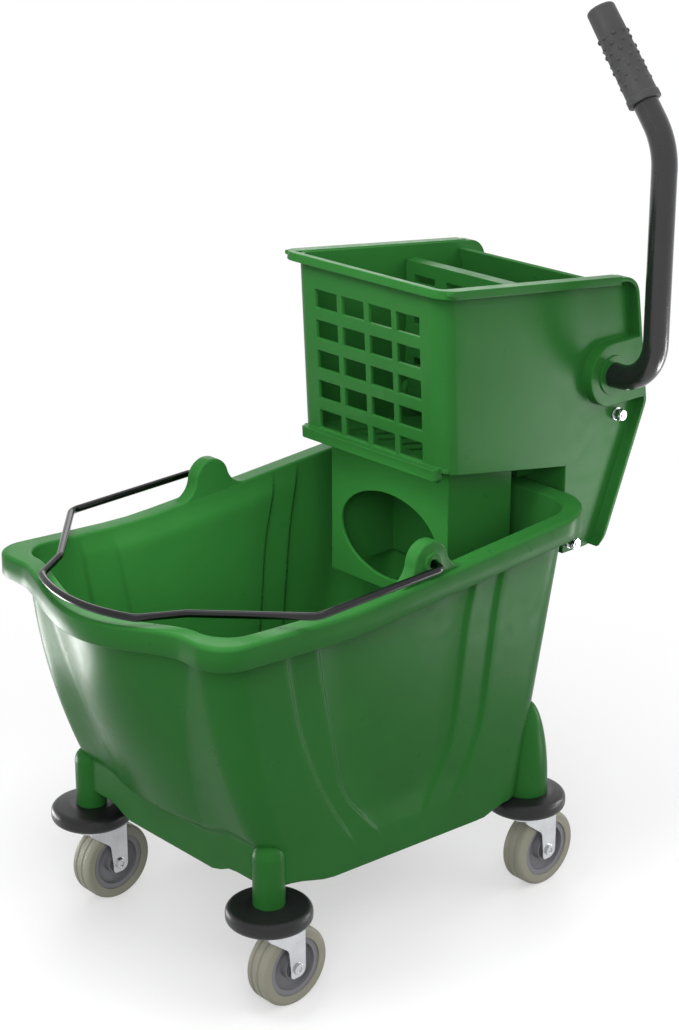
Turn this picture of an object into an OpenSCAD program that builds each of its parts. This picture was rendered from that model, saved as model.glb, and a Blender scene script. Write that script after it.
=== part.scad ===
// Mop bucket on four swivel casters with a side press wringer hung on its rear rim.
// Millimetres, +Z up. The origin is on the floor, midway between the four casters.
// +X points to the wringer end and -Y to the side of the press handle.

/* [Bucket] */
// Distance from the origin to the flat of the front wall, under the rim
wall_front = 226; // [210:1:240]
// Distance from the origin to the rear wall, under the rim
wall_rear = 210; // [200:1:225]
// Width over the side walls, under the rim
body_w = 294; // [276:1:310]
// Distance from the origin to the front apron at the base
base_front = 170; // [165:1:180]
// Distance from the origin to the rear wall at the base
base_rear = 158; // [152:1:170]
// How far each side wall leans in from the rim to the base
side_draft = 6; // [3:0.5:11]
// Distance from the origin to the front wall just above the apron
step_front = 178; // [174:1:190]
// How far the front wall bows out under the rim
bow_top = 25; // [10:1:35]
// How far the front wall bows out just above the apron
bow_low = 10; // [4:1:16]
// Half width of the bow under the rim
bow_half_top = 112; // [90:1:116]
// Half width of the bow just above the apron
bow_half_low = 60; // [50:1:80]
// How far the front wall swells half way up
front_belly = 10; // [0:1:14]
// Thickness of the moulded walls
wall_t = 4; // [3:0.5:5]
// Lowest height of the rim above the floor
rim_z = 368; // [340:1:400]
// Width of the rim flange
rim_flange = 16; // [12:1:22]
// Drop of the rim's outer skirt
rim_drop = 22; // [14:1:30]
// Dip of the pouring lip at the middle of the front rim
lip_dip = 9; // [0:1:14]
// Height of the base edge above the floor, half way along
base_z = 106; // [102:1:110]
// How far the base edge arches up at the front legs
arch_rise = 10; // [4:1:12]
// Height of the inside bottom above the highest part of the base edge
floor_rise = 6.5; // [6:0.5:10]
// Depth of each step of the long sides' sunk panels
panel_step = 3; // [1:0.5:5]

/* [Legs and bumpers] */
// Distance between the front and rear casters
caster_dx = 326; // [310:1:340]
// Distance of the leg posts' axes in from the sides of the base
leg_in = 11; // [8:1:18]
// Diameter of a front leg post
front_leg_d = 29; // [26:1:34]
// Diameter of a rear leg post
rear_leg_d = 42; // [36:1:46]
// Height of the dome on a rear leg post
rear_dome_h = 88; // [60:1:95]
// Diameter of a bumper disc
bumper_d = 78; // [66:1:90]
// Thickness of a bumper disc
bumper_t = 17; // [14:1:20]

/* [Casters] */
// Wheel diameter
wheel_d = 76; // [70:1:80]
// Wheel width
wheel_w = 24; // [20:1:28]
// Distance from the swivel axis to the wheel's axis
caster_trail = 20; // [14:1:24]
// Diameter of the caster's stem
stem_d = 11; // [9:0.5:12]
// Diameter of the wheel's axle
axle_d = 8; // [6:0.5:10]
// Thickness of the fork's sheet metal
fork_t = 2.5; // [2:0.25:3]

/* [Bail] */
// Diameter of the bail's wire
bail_d = 7.6; // [6:0.2:9]
// Distance of the ears from the origin
ear_x = 4; // [-20:1:20]
// Diameter of an ear's round top
ear_d = 40; // [34:1:46]
// Height of the bail's axis above the rim at the ears
bail_rise = 14; // [10:1:20]
// Clearance between the rim's skirt and the bail's arms
bail_side = 6.2; // [4:0.2:12]
// Length of the bail's straight arms
bail_arm = 146; // [130:1:155]
// Reach of the bail's front corners from its axis
bail_reach = 259; // [255:1:265]
// Distance between the bail's front corners
bail_front_w = 154; // [130:1:170]
// How far the bail's front runs out past its corners
bail_bow = 11; // [6:1:16]

/* [Wringer] */
// Width over the cheeks
wringer_w = 198; // [184:1:204]
// Wall thickness of the wringer's moulding
wringer_t = 4; // [3.5:0.5:5]
// Length of the basket, from the rear of the bucket to the front wall's top
basket_len = 170; // [160:1:180]
// Height of the front wall's top above the notch that hangs on the rim
basket_h = 201; // [190:1:215]
// Downward tilt of the top edge towards the rear
top_tilt = 6.2; // [3:0.1:8]
// Reach of the rearmost point behind the notch
rear_reach = 102; // [98:1:112]
// Depth of the rear pocket below the notch
pocket_h = 89; // [84:1:100]
// Width of the outward flange round the cheeks
flange_w = 11; // [8:1:16]
// Drop of the flange's lip
flange_drop = 8; // [6:1:14]
// Columns of the front sieve
sieve_cols = 4; // [3:1:5]
// Rows of the front sieve
sieve_rows = 5; // [3:1:5]
// Width of a sieve opening
sieve_w = 29.5; // [20:0.5:32]
// Height of a sieve opening
sieve_h = 18; // [12:0.5:20]
// Width of the oval drain in the skirt
drain_w = 132; // [100:1:140]
// Height of the oval drain in the skirt
drain_h = 86; // [60:1:92]

/* [Handle and gears] */
// Diameter of the handle's tube
tube_d = 24; // [20:0.5:26]
// Wall thickness of the handle's tube
tube_t = 2; // [1.5:0.25:3]
// Distance of the handle's riser from the middle plane
riser_y = 160; // [150:1:175]
// Height of the riser's upper bend above the handle's axis
riser_h = 227; // [200:1:260]
// Lean of the grip towards the basket
grip_lean = 37; // [20:1:45]
// Length from the upper bend to the top of the grip
grip_reach = 141; // [135:1:160]
// Length of the grip
grip_len = 98; // [85:1:110]
// Diameter of the grip
grip_d = 30; // [28:0.5:36]
// Distance from the handle's axis to the press plate's hinge
gear_reach = 84; // [79:0.5:86]
// Teeth on the whole circle of a drive gear
drive_teeth = 16; // [15:1:16]
// Teeth on the whole circle of a plate gear
plate_teeth = 40; // [39:1:40]
// Width of the gears
gear_w = 12; // [8:1:16]
// Diameter of the tie rods
tie_d = 6; // [5:0.5:7]

/* [Hidden] */
$fn = 48;
// Overrun of every cut
over = 1;
// Gap between faces of different moving bodies
gap = 0.3;
// Radial clearance of a shaft that turns in its bore
run_fit = 0.08;
// Radial clearance of a piece fixed in its bore
seat_fit = 0.05;
// Straight and bent lengths of wire or tube stop this short of each other, and a bead joins them
bead_gap = 0.15;
// Rise of that bead
bead_rise = 0.1;

// Names of the corners and the signs of their X and Y
CORNERS = [
    ["front_left", -1, -1],
    ["front_right", -1, 1],
    ["rear_left", 1, -1],
    ["rear_right", 1, 1],
];
CASTER_PARTS = ["bumper", "caster_stem", "fork", "axle", "wheel_bush", "wheel_core", "tyre"];

// Colours
green = "#2c6b31";
dark_green = "#255a29";
black = "#1d1d1f";
zinc = "#c9cbcd";
wire = "#58585c";
tyre_grey = "#8f8f7d";
rim_grey = "#77777d";
hub_grey = "#4a4a50";

// Points and outlines
function lerp(a, b, t) = a + (b - a) * t;
function clamp01(t) = min(1, max(0, t));
function smooth(t) = let (c = clamp01(t)) c * c * (3 - 2 * c);
function unit(v) = v / norm(v);
function flip(list) = [for (i = [len(list) - 1 : -1 : 0]) list[i]];
// A ramp that is zero before 0 and turns softly into a straight rise
function ramp(v, soft) = (sqrt(v * v + soft * soft) + v) / 2;
function line_hit(p, u, q, v) = p + u * cross(q - p, v) / cross(u, v);

// One rounded corner b between its neighbours a and c, never longer than its edges allow
edge_use_share = 0.48;
function corner_arc(a, b, c, r, n) =
    r <= 0 ? [b] :
    let (
        u = unit(a - b),
        v = unit(c - b),
        half = acos(u * v) / 2,
        reach = min(r / tan(half), edge_use_share * min(norm(a - b), norm(c - b))),
        rr = reach * tan(half),
        centre = b + unit(u + v) * rr / sin(half),
        from = atan2((b + u * reach - centre).y, (b + u * reach - centre).x),
        to = atan2((b + v * reach - centre).y, (b + v * reach - centre).x),
        turn = to - from > 180 ? to - from - 360 : to - from < -180 ? to - from + 360 : to - from
    )
    [for (i = [0 : n]) centre + rr * [cos(from + turn * i / n), sin(from + turn * i / n)]];

// A closed outline with each corner rounded by its own radius
function rounded(pts, radii, n = 6) =
    let (m = len(pts))
    [for (i = [0 : m - 1]) each corner_arc(pts[(i + m - 1) % m], pts[i], pts[(i + 1) % m], radii[i], n)];

// A closed outline, counter-clockwise, with each edge moved inwards by its own distance
function inset(pts, ds) =
    let (
        m = len(pts),
        dirs = [for (i = [0 : m - 1]) unit(pts[(i + 1) % m] - pts[i])],
        starts = [for (i = [0 : m - 1]) pts[i] + ds[i] * [-dirs[i].y, dirs[i].x]]
    )
    [for (i = [0 : m - 1]) line_hit(starts[(i + m - 1) % m], dirs[(i + m - 1) % m], starts[i], dirs[i])];

// An open path moved to its left by d
function beside(path, d) =
    let (
        m = len(path),
        dirs = [for (i = [0 : m - 2]) unit(path[i + 1] - path[i])],
        lefts = [for (u = dirs) d * [-u.y, u.x]]
    )
    [for (i = [0 : m - 1])
        i == 0 ? path[0] + lefts[0] :
        i == m - 1 ? path[m - 1] + lefts[m - 2] :
        line_hit(path[i - 1] + lefts[i - 1], dirs[i - 1], path[i] + lefts[i], dirs[i])];

// A solid through rings of equal length; its first and last ring are closed by fans
module loft(rings) {
    n = len(rings[0]);
    m = len(rings);
    last = (m - 1) * n;
    middle = [for (ring = [rings[0], rings[m - 1]]) (ring[0] + ring[n / 2]) / 2];
    points = concat([for (ring = rings) each ring], middle);
    sides = [for (k = [0 : m - 2]) for (i = [0 : n - 1])
        let (j = (i + 1) % n, a = k * n + i, b = k * n + j, c = a + n, d = b + n)
        each [[a, b, c], [b, d, c]]];
    first_cap = [for (i = [0 : n - 1]) [(i + 1) % n, i, m * n]];
    last_cap = [for (i = [0 : n - 1]) [last + i, last + (i + 1) % n, m * n + 1]];
    polyhedron(points, concat(first_cap, sides, last_cap));
}

// An XZ outline drawn out along Y between y0 and y1
module along_y(y0, y1) {
    translate([0, y1, 0]) rotate([90, 0, 0]) linear_extrude(y1 - y0) children();
}

// A round bar along Y between y0 and y1 at a point of the XZ plane
module bar_y(at, r, y0, y1) {
    translate([at.x, y1, at.y]) rotate([90, 0, 0]) cylinder(r = r, h = y1 - y0);
}

// A round bar between two points
module rod(p, q, r) {
    d = q - p;
    translate(p) rotate([0, acos(d.z / norm(d)), atan2(d.y, d.x)]) cylinder(r = r, h = norm(d));
}

// Bucket

bucket_half = body_w / 2;
base_w = body_w - 2 * side_draft;
rim_half = bucket_half + rim_flange;
rim_rear = wall_rear + rim_flange;
rim_low_x = -90;
rim_soft = 20;
rim_front_slope_share = 0.055;
rim_rear_slope_share = 0.0733;
lip_half = 110;
lip_from = 170;
lip_run = 60;
base_slope_share = 0.045;
arch_from = 95;
arch_run = 55;
arch_half = 60;
arch_half_run = 30;
bumper_gap = 12.5;
bumper_z = wheel_d + bumper_gap;
// The base edge rises over the rear bumpers and clears them by this much
bumper_clear = 1.4;
rear_arch_from = 92;
rear_arch_run = 30;
rear_arch_rise = max(0, bumper_z + bumper_t + bumper_clear - base_z + base_slope_share * base_rear);
floor_t = 4.5;
floor_fillet = 8;
floor_z = base_z + base_slope_share * base_front + arch_rise + floor_rise;
front_corner_low = 24;
front_corner_top = 33;
rim_corner = 30;
rear_corner = 36;
// Share of the wall's height at the top of the front apron, and just above it
apron_share = 0.14;
step_share = 0.18;
// Heights of the wall's rings as shares of its height
level_shares = [0.28, 0.4, 0.52, 0.65, 0.8, 0.93];
// Points of the bow as shares of its half width
bow_shares = [0, 0.25, 0.5, 0.75, 0.9, 1];
// How fast the bow's edge softens towards the rim
bow_soft_share = 0.5;
bow_power = 1.2;
corner_steps = 6;
corner_gap = 1;

// Side panels: two nested steps drawn like a tulip. Each line is a table of the wall's height
// against a place along the side, as shares of the height and of the panel's reach.
panel_reach = 150;
front_line_shares = [[0, -0.38], [0.17, -0.57], [0.38, -0.79], [0.6, -0.94], [0.83, -1.02], [1, -1.05]];
front_inner_shares = [[0, -0.15], [0.13, -0.32], [0.3, -0.58], [0.58, -0.68], [0.78, -0.75], [1, -0.81]];
rear_inner_shares = [[0, 0], [0.13, 0.12], [0.3, 0.33], [0.42, 0.38], [0.78, 0.45], [1, 0.56]];
rear_line_shares = [[0, 0.2], [0.13, 0.36], [0.3, 0.55], [0.4, 0.6], [0.78, 0.68], [1, 0.77]];
panel_edge = 5;
// Where the steps start, fade in and fade out, as shares of the wall's height
panel_start_share = 0.08;
panel_rise_share = 0.15;
panel_fade_share = 0.07;

function rim_top(x, y) =
    rim_z
    + rim_front_slope_share * ramp(rim_low_x - x, rim_soft)
    + rim_rear_slope_share * ramp(x - rim_low_x, rim_soft)
    - lip_dip * smooth((-x - lip_from) / lip_run) * pow(max(0, 1 - pow(y / lip_half, 2)), 2);
function base_edge(x, y) =
    let (side = smooth((abs(y) - arch_half) / arch_half_run))
    base_z - base_slope_share * x
    + side * arch_rise * smooth((-x - arch_from) / arch_run)
    + side * rear_arch_rise * smooth((x - rear_arch_from) / rear_arch_run);
function wall_z(x, y, t) = lerp(base_edge(x, y), rim_top(x, y) - wall_t, t);
function above_step(t) = clamp01((t - step_share) / (1 - step_share));
function front_at(t) =
    let (s = above_step(t))
    t < step_share ? base_front : lerp(step_front, wall_front, s) + front_belly * 4 * s * (1 - s);
function rear_at(t) = lerp(base_rear, wall_rear, t);
function half_at(t) = lerp(base_w, body_w, t) / 2;
function bow_at(t) = t < step_share ? 0 : lerp(bow_low, bow_top, above_step(t));
function bow_half_at(t) = lerp(bow_half_low, bow_half_top, pow(above_step(t), bow_power));
function bow_x(t, s) = bow_at(t) * pow(1 - s * s, 1 + bow_soft_share * t);
function panel_depth(t) =
    panel_step * smooth((1 - t) / panel_fade_share) * smooth((t - panel_start_share) / panel_rise_share);
function on_panel(t, shares) = panel_reach * lookup(t, shares);
function corner_r(t, d) =
    d < 0 ? lerp(front_corner_top, rim_corner, -d / rim_flange) :
    lerp(front_corner_low, front_corner_top, t) - d;

// Plan points of one long side between two places, each with its sunk depth in steps
side_share = 1 / 3;
function side_points(t, xa, xb) =
    let (
        a = on_panel(t, front_line_shares),
        b = on_panel(t, front_inner_shares),
        c = on_panel(t, rear_inner_shares),
        d = on_panel(t, rear_line_shares),
        e = panel_edge
    )
    [[lerp(xa, a, side_share), 0], [lerp(a, xa, side_share), 0],
     [a, 0], [a + e, 1], [b, 1], [b + e, 2], [(b + c) / 2, 2], [c - e, 2], [c, 1], [d - e, 1], [d, 0],
     [lerp(d, xb, side_share), 0], [lerp(xb, d, side_share), 0]];

// Half of the bucket's plan outline at a share of the height, moved inwards by d
function half_outline(t, d) =
    let (
        hw = half_at(t) - d,
        xf = -front_at(t) + d,
        xr = rear_at(t) - d,
        rf = corner_r(t, d),
        rr = rear_corner - d,
        bow_half = min(bow_half_at(t), hw - rf - corner_gap)
    )
    concat(
        [for (s = bow_shares) [xf - bow_x(t, s), s * bow_half]],
        [for (i = [0 : corner_steps])
            [xf + rf - rf * cos(90 * i / corner_steps), hw - rf + rf * sin(90 * i / corner_steps)]],
        [for (p = side_points(t, xf + rf, xr - rr)) [p.x, hw - p.y * panel_depth(t)]],
        [for (i = [0 : corner_steps])
            [xr - rr + rr * sin(90 * i / corner_steps), hw - rr + rr * cos(90 * i / corner_steps)]],
        [[xr, 0]]
    );
function whole_outline(t, d) =
    let (h = half_outline(t, d), m = len(h))
    concat(h, [for (i = [m - 2 : -1 : 1]) [h[i].x, -h[i].y]]);

function wall_ring(t, d) = [for (p = whole_outline(t, d)) [p.x, p.y, wall_z(p.x, p.y, t)]];
function rim_ring(d, drop) = [for (p = whole_outline(1, d)) [p.x, p.y, rim_top(p.x, p.y) - drop]];
function flat_ring(t, d, z) = [for (p = whole_outline(t, d)) [p.x, p.y, z]];

// Rim section: distance in from the wall's face, and drop below the rim's top
rim_skirt_t = 3;
rim_round = 4;
rim_edge_share = 0.3;
rim_section = [
    [rim_skirt_t - rim_flange, wall_t],
    [rim_skirt_t - rim_flange, rim_drop],
    [-rim_flange, rim_drop],
    [-rim_flange, rim_round],
    [rim_edge_share * rim_round - rim_flange, rim_edge_share * rim_round],
    [rim_round - rim_flange, 0],
    [wall_t - rim_edge_share * rim_round, 0],
    [wall_t, rim_edge_share * rim_round],
];
floor_share = (floor_z - base_z) / (rim_z - base_z);
bucket_rings = concat(
    [flat_ring(0, wall_t, floor_z - floor_t)],
    [wall_ring(0, wall_t), wall_ring(0, 0), wall_ring(apron_share, 0), wall_ring(step_share, 0)],
    [for (t = level_shares) wall_ring(t, 0)],
    [wall_ring(1, 0)],
    [for (p = rim_section) rim_ring(p.x, p.y)],
    [for (t = flip(level_shares)) wall_ring(t, wall_t)],
    [wall_ring(step_share, wall_t), wall_ring(apron_share, wall_t)],
    [flat_ring(floor_share, wall_t, floor_z + floor_fillet)],
    [flat_ring(floor_share, wall_t + floor_fillet, floor_z)]
);

// Ears
ear_t = 14;
ear_in = 1;
ear_flare_r = 22;
ear_lift = 0.5;
ear_sunk = 3;
ear_steps = 10;
ear_boss_d = 20;
ear_boss_h = 2.5;
bail_gap = 0.4;
// Thickness left behind the bail's hole
ear_skin = 2.5;
ear_inner = bucket_half - wall_t + ear_in;
ear_outer = ear_inner + ear_t;
bail_z = rim_top(ear_x, bucket_half) + bail_rise;
// The ears lean with the rim
ear_tilt = atan(rim_rear_slope_share);

// Outline about the bail's axis: a round top whose flares run out along the rim
function ear_outline() =
    let (
        r = ear_d / 2,
        z = ear_flare_r - bail_rise + ear_lift,
        x = sqrt(pow(r + ear_flare_r, 2) - z * z),
        meet = atan2(z, x),
        flare = [for (i = [0 : ear_steps])
            let (a = lerp(270, 180 + meet, i / ear_steps)) [x, z] + ear_flare_r * [cos(a), sin(a)]],
        top = [for (i = [1 : ear_steps])
            let (a = lerp(meet, 90, i / ear_steps)) r * [cos(a), sin(a)]],
        half = concat([[x, -bail_rise - ear_sunk]], flare, top)
    )
    concat(half, [for (p = flip(half)) if (p.x > 0) [-p.x, p.y]]);

// Leg posts, and what stands in them
leg_x = caster_dx / 2;
leg_y = base_w / 2 - leg_in;
bumper_web = 6;
leg_foot_z = bumper_z + bumper_web;
stem_depth = 40;
front_leg_z = 150;
rear_leg_z = 112;
dome_steps = 12;

function leg_r(corner) = (corner[1] < 0 ? front_leg_d : rear_leg_d) / 2;

module at_corner(corner) {
    translate([corner[1] * leg_x, corner[2] * leg_y, 0]) children();
}

// A post turned about its own axis, with a domed top that ends in a small flat
module leg_post(corner) {
    r = leg_r(corner);
    z = corner[1] < 0 ? front_leg_z : rear_leg_z;
    h = corner[1] < 0 ? r : rear_dome_h;
    at_corner(corner) rotate_extrude() polygon(concat(
        [[0, leg_foot_z], [r, leg_foot_z]],
        [for (i = [0 : dome_steps - 1]) [r * cos(90 * i / dome_steps), z + h * sin(90 * i / dome_steps)]],
        [[0, z + h * sin(90 - 90 / dome_steps)]]
    ));
}

module bucket() {
    color(green) difference() {
        union() {
            loft(bucket_rings);
            for (s = [-1, 1]) {
                along_y(min(s * ear_inner, s * ear_outer), max(s * ear_inner, s * ear_outer))
                    translate([ear_x, bail_z]) rotate(ear_tilt) polygon(ear_outline());
                bar_y([ear_x, bail_z], ear_boss_d / 2,
                    min(s * ear_outer, s * (ear_outer + ear_boss_h)),
                    max(s * ear_outer, s * (ear_outer + ear_boss_h)));
            }
            for (corner = CORNERS) leg_post(corner);
        }
        for (s = [-1, 1]) bar_y([ear_x, bail_z], bail_d / 2 + bail_gap,
            min(s * (ear_inner + ear_skin), s * rim_half), max(s * (ear_inner + ear_skin), s * rim_half));
        for (corner = CORNERS) at_corner(corner) translate([0, 0, leg_foot_z - over])
            cylinder(d = stem_d + 2 * seat_fit, h = stem_depth + over);
    }
}

// Casters

axle_z = wheel_d / 2;
bumper_round = 6;
bumper_rise = 2;
fork_gap = 1.5;
fork_in = wheel_w / 2 + fork_gap;
fork_out = fork_in + fork_t;
fork_eye_r = 8.5;
crown_r = 20;
wheel_gap = 3.5;
crown_z = wheel_d + wheel_gap;
crown_top = crown_z + fork_t;
cup_t = 3;
dish_r = 21;
dish_neck_r = 13;
kingpin_d = 10;
kingpin_head_d = 15;
kingpin_head_t = 2;
axle_head_d = 11;
axle_head_t = 2.2;
axle_dimple_d = 5;
bush_d = 17;
bush_flange_d = 21;
bush_flange_t = 1;
core_r = 28;
core_lip_r = 23;
core_web_t = 9;
core_hub_r = 12;
tyre_round = 4;
groove_r = 1.2;
groove_y_share = 0.17;
core_sunk = 1.5;
core_w = wheel_w - 2 * core_sunk;

module bumper(corner) {
    r = bumper_d / 2;
    color(black) at_corner(corner) difference() {
        rotate_extrude() polygon(rounded([
            [0, bumper_z],
            [r, bumper_z],
            [r, bumper_z + bumper_t - bumper_rise],
            [leg_r(corner) + bumper_round, bumper_z + bumper_t],
            [0, bumper_z + bumper_t],
        ], [0, bumper_round, bumper_round, bumper_round, 0]));
        translate([0, 0, leg_foot_z]) cylinder(r = leg_r(corner) + seat_fit, h = bumper_t);
        translate([0, 0, bumper_z - over]) cylinder(d = stem_d + 2 * seat_fit, h = bumper_t);
    }
}

module caster_stem(corner) {
    color(zinc) at_corner(corner) {
        translate([0, 0, bumper_z - cup_t]) cylinder(r = dish_r, h = cup_t);
        translate([0, 0, bumper_z - cup_t]) cylinder(d = stem_d, h = stem_depth + cup_t + bumper_web - over);
        translate([0, 0, crown_z - gap]) cylinder(d = kingpin_d, h = bumper_z - crown_z);
        translate([0, 0, crown_z - gap - kingpin_head_t]) cylinder(d = kingpin_head_d, h = kingpin_head_t);
    }
}

// Side of the fork: a wide top that tapers to a round eye at the axle
fork_nose = 13;
fork_waist_z = 60;
function fork_side() =
    rounded([
        [-fork_nose, crown_top],
        [-fork_nose, crown_z - fork_t],
        [caster_trail - fork_eye_r - fork_t, fork_waist_z],
        [caster_trail - fork_eye_r, axle_z],
        [caster_trail - fork_eye_r, axle_z - fork_eye_r],
        [caster_trail + fork_eye_r, axle_z - fork_eye_r],
        [caster_trail + fork_eye_r, crown_top],
    ], [0, fork_t, fork_eye_r, 0, fork_eye_r, fork_eye_r, fork_t]);

module fork(corner) {
    color(zinc) at_corner(corner) difference() {
        union() {
            for (s = [-1, 1])
                along_y(min(s * fork_in, s * fork_out), max(s * fork_in, s * fork_out)) polygon(fork_side());
            translate([-fork_nose, -fork_out, crown_z])
                cube([fork_nose + caster_trail + fork_eye_r - fork_t, 2 * fork_out, fork_t]);
            translate([0, 0, crown_z]) cylinder(r = crown_r, h = fork_t);
            rotate_extrude() polygon([
                [0, crown_z],
                [dish_neck_r, crown_z],
                [dish_r, bumper_z - cup_t - fork_t],
                [dish_r, bumper_z - cup_t - gap],
                [0, bumper_z - cup_t - gap],
            ]);
        }
        translate([0, 0, crown_z - over])
            cylinder(d = kingpin_d + 2 * run_fit, h = bumper_z - crown_z);
        bar_y([caster_trail, axle_z], axle_d / 2 + seat_fit, -fork_out - over, fork_out + over);
    }
}

module axle(corner) {
    at = [caster_trail, axle_z];
    color(zinc) at_corner(corner) difference() {
        union() {
            bar_y(at, axle_d / 2, -fork_out, fork_out);
            for (s = [-1, 1])
                bar_y(at, axle_head_d / 2, min(s * fork_out, s * (fork_out + axle_head_t)),
                    max(s * fork_out, s * (fork_out + axle_head_t)));
        }
        for (s = [-1, 1])
            bar_y(at, axle_dimple_d / 2, s * (fork_out + axle_head_t) - axle_head_t / 2,
                s * (fork_out + axle_head_t) + axle_head_t / 2);
    }
}

// A ring turned about the wheel's axle; its profile is radius and width
module wheel_turn() {
    translate([caster_trail, 0, axle_z]) rotate([90, 0, 0]) rotate_extrude($fn = 72) children();
}

module wheel_bush(corner) {
    half = fork_in - gap;
    color(hub_grey) at_corner(corner) wheel_turn() polygon([
        [axle_d / 2 + run_fit, -half],
        [bush_flange_d / 2, -half],
        [bush_flange_d / 2, bush_flange_t - half],
        [bush_d / 2, bush_flange_t - half],
        [bush_d / 2, half - bush_flange_t],
        [bush_flange_d / 2, half - bush_flange_t],
        [bush_flange_d / 2, half],
        [axle_d / 2 + run_fit, half],
    ]);
}

module wheel_core(corner) {
    hub = fork_in - gap - bush_flange_t - seat_fit;
    bore = bush_d / 2 + seat_fit;
    color(rim_grey) at_corner(corner) wheel_turn() polygon([
        [bore, -hub],
        [core_hub_r, -hub],
        [core_hub_r, -core_web_t / 2],
        [core_lip_r, -core_web_t / 2],
        [core_lip_r, -core_w / 2],
        [core_r, -core_w / 2],
        [core_r, core_w / 2],
        [core_lip_r, core_w / 2],
        [core_lip_r, core_web_t / 2],
        [core_hub_r, core_web_t / 2],
        [core_hub_r, hub],
        [bore, hub],
    ]);
}

module tyre(corner) {
    color(tyre_grey) at_corner(corner) wheel_turn() difference() {
        polygon(rounded([
            [core_r + seat_fit, -wheel_w / 2],
            [axle_z, -wheel_w / 2],
            [axle_z, wheel_w / 2],
            [core_r + seat_fit, wheel_w / 2],
        ], [0, tyre_round, tyre_round, 0]));
        for (s = [-1, 1]) translate([axle_z, s * groove_y_share * wheel_w]) circle(r = groove_r);
    }
}

// Bail

bail_tilt = 1.8;
bail_r = bail_d / 2;
bail_w = 2 * (rim_half + bail_side + bail_r);
elbow_r = 9;
shoulder_r = 16;
front_r = 18;

// A bend of the bail's wire about a centre in the bail's plane
module bail_bend(centre, r, from, to) {
    trim = bead_gap / r * 180 / PI;
    translate([centre.x, centre.y, 0]) rotate([0, 0, from + trim])
        rotate_extrude(angle = to - from - 2 * trim, $fn = 72) translate([r, 0]) circle(r = bail_r);
}

// A straight length in the bail's plane
module bail_run(p, q) {
    u = unit(q - p);
    rod(concat(p + bead_gap * u, 0), concat(q - bead_gap * u, 0), bail_r);
}

module bail_bead(p) {
    translate([p.x, p.y, 0]) sphere(r = bail_r + bead_rise);
}

// Half of the bail in its own plane, +X towards the front, from the ear to the middle of the bow
module bail_half() {
    half = bail_w / 2;
    shoulder = [bail_arm, half];
    bow_r = (pow(bail_front_w / 2, 2) + bail_bow * bail_bow) / (2 * bail_bow);
    bow_centre = [bail_reach + bail_bow - bow_r, 0];
    slope = atan2(half - bail_front_w / 2, bail_reach - bail_arm);
    run = [cos(slope), -sin(slope)];
    inward = [-sin(slope), -cos(slope)];
    // The front bend touches the sloping run and the bow
    q = shoulder + front_r * inward - bow_centre;
    t = sqrt(pow(q * run, 2) - q * q + pow(bow_r - front_r, 2)) - q * run;
    front_centre = shoulder + t * run + front_r * inward;
    bow_angle = atan2(front_centre.y, front_centre.x - bow_centre.x);
    cut = shoulder_r * tan(slope / 2);
    foot = [0, half - elbow_r];
    heel = [elbow_r, half];
    shoulder_in = [bail_arm - cut, half];
    shoulder_out = shoulder + cut * run;
    front_in = shoulder + t * run;
    front_out = bow_centre + bow_r * [cos(bow_angle), sin(bow_angle)];
    rod([0, ear_inner + ear_skin + bail_gap, 0], concat(foot - [0, bead_gap], 0), bail_r);
    bail_bend([elbow_r, half - elbow_r], elbow_r, 90, 180);
    bail_run(heel, shoulder_in);
    bail_bend([bail_arm - cut, half - shoulder_r], shoulder_r, 90 - slope, 90);
    bail_run(shoulder_out, front_in);
    bail_bend(front_centre, front_r, bow_angle, 90 - slope);
    bail_bend(bow_centre, bow_r, 0, bow_angle);
    for (p = [foot, heel, shoulder_in, shoulder_out, front_in, front_out]) bail_bead(p);
}

module bail() {
    color(wire) translate([ear_x, 0, bail_z]) rotate([0, -bail_tilt, 0]) rotate([0, 0, 180]) {
        bail_half();
        mirror([0, 1, 0]) bail_half();
        bail_bead([bail_reach + bail_bow, 0]);
    }
}

// Wringer: its own XZ frame has its origin at the corner of the notch that hangs on the rim

notch_gap = 13;
saddle_h = 18;
notch_x = rim_rear + notch_gap;
notch_z = rim_top(rim_rear, 0) + saddle_h;
cheek_out = wringer_w / 2;
cheek_in = cheek_out - wringer_t;
cheek_mid = cheek_out - wringer_t / 2;
flange_out = cheek_out + flange_w;
flange_t = 4;

front_drop = 27;
front_lean = 9;
basket_corner_r = 18;
pocket_run = 46;
rear_knee_h = 47;
rear_top_run = 20;
cheek_top_r = 22;
cheek_knee_r = 16;
cheek_toe_r = 22;

function top_line(u) = basket_h - (u + basket_len) * tan(top_tilt);
function bottom_line(u) = -u * front_drop / (basket_len - front_lean);
rear_top_u = rear_reach - rear_top_run;
// Cheek outline, counter-clockwise: front foot, notch, pocket, toe, knee, rear top, front top
cheek_pts = [
    [front_lean - basket_len, front_drop],
    [0, 0],
    [0, -pocket_h],
    [pocket_run, -pocket_h],
    [rear_reach, rear_knee_h],
    [rear_top_u, top_line(rear_top_u)],
    [-basket_len, basket_h],
];
cheek_radii = [0, 0, 0, cheek_toe_r, cheek_knee_r, cheek_top_r, 0];
cheek_outline = rounded(cheek_pts, cheek_radii, 8);
lean_angle = atan(front_lean / (basket_h - front_drop));

module at_wringer() {
    translate([notch_x, 0, notch_z]) children();
}

// The front wall's faces stay this far inside the cheeks' own faces where they overlap
wall_step = 0.2;

// Plan of the front wall and its rounded corners, from the front wall's face
module front_plan(half, r, from, to) {
    polygon(rounded([
        [from, -half],
        [to, -half],
        [to, half],
        [from, half],
    ], [r, 0, 0, r], 8));
}

module leaning() {
    translate([cheek_pts[0].x, 0, cheek_pts[0].y]) rotate([0, -lean_angle, 0]) children();
}

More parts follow.
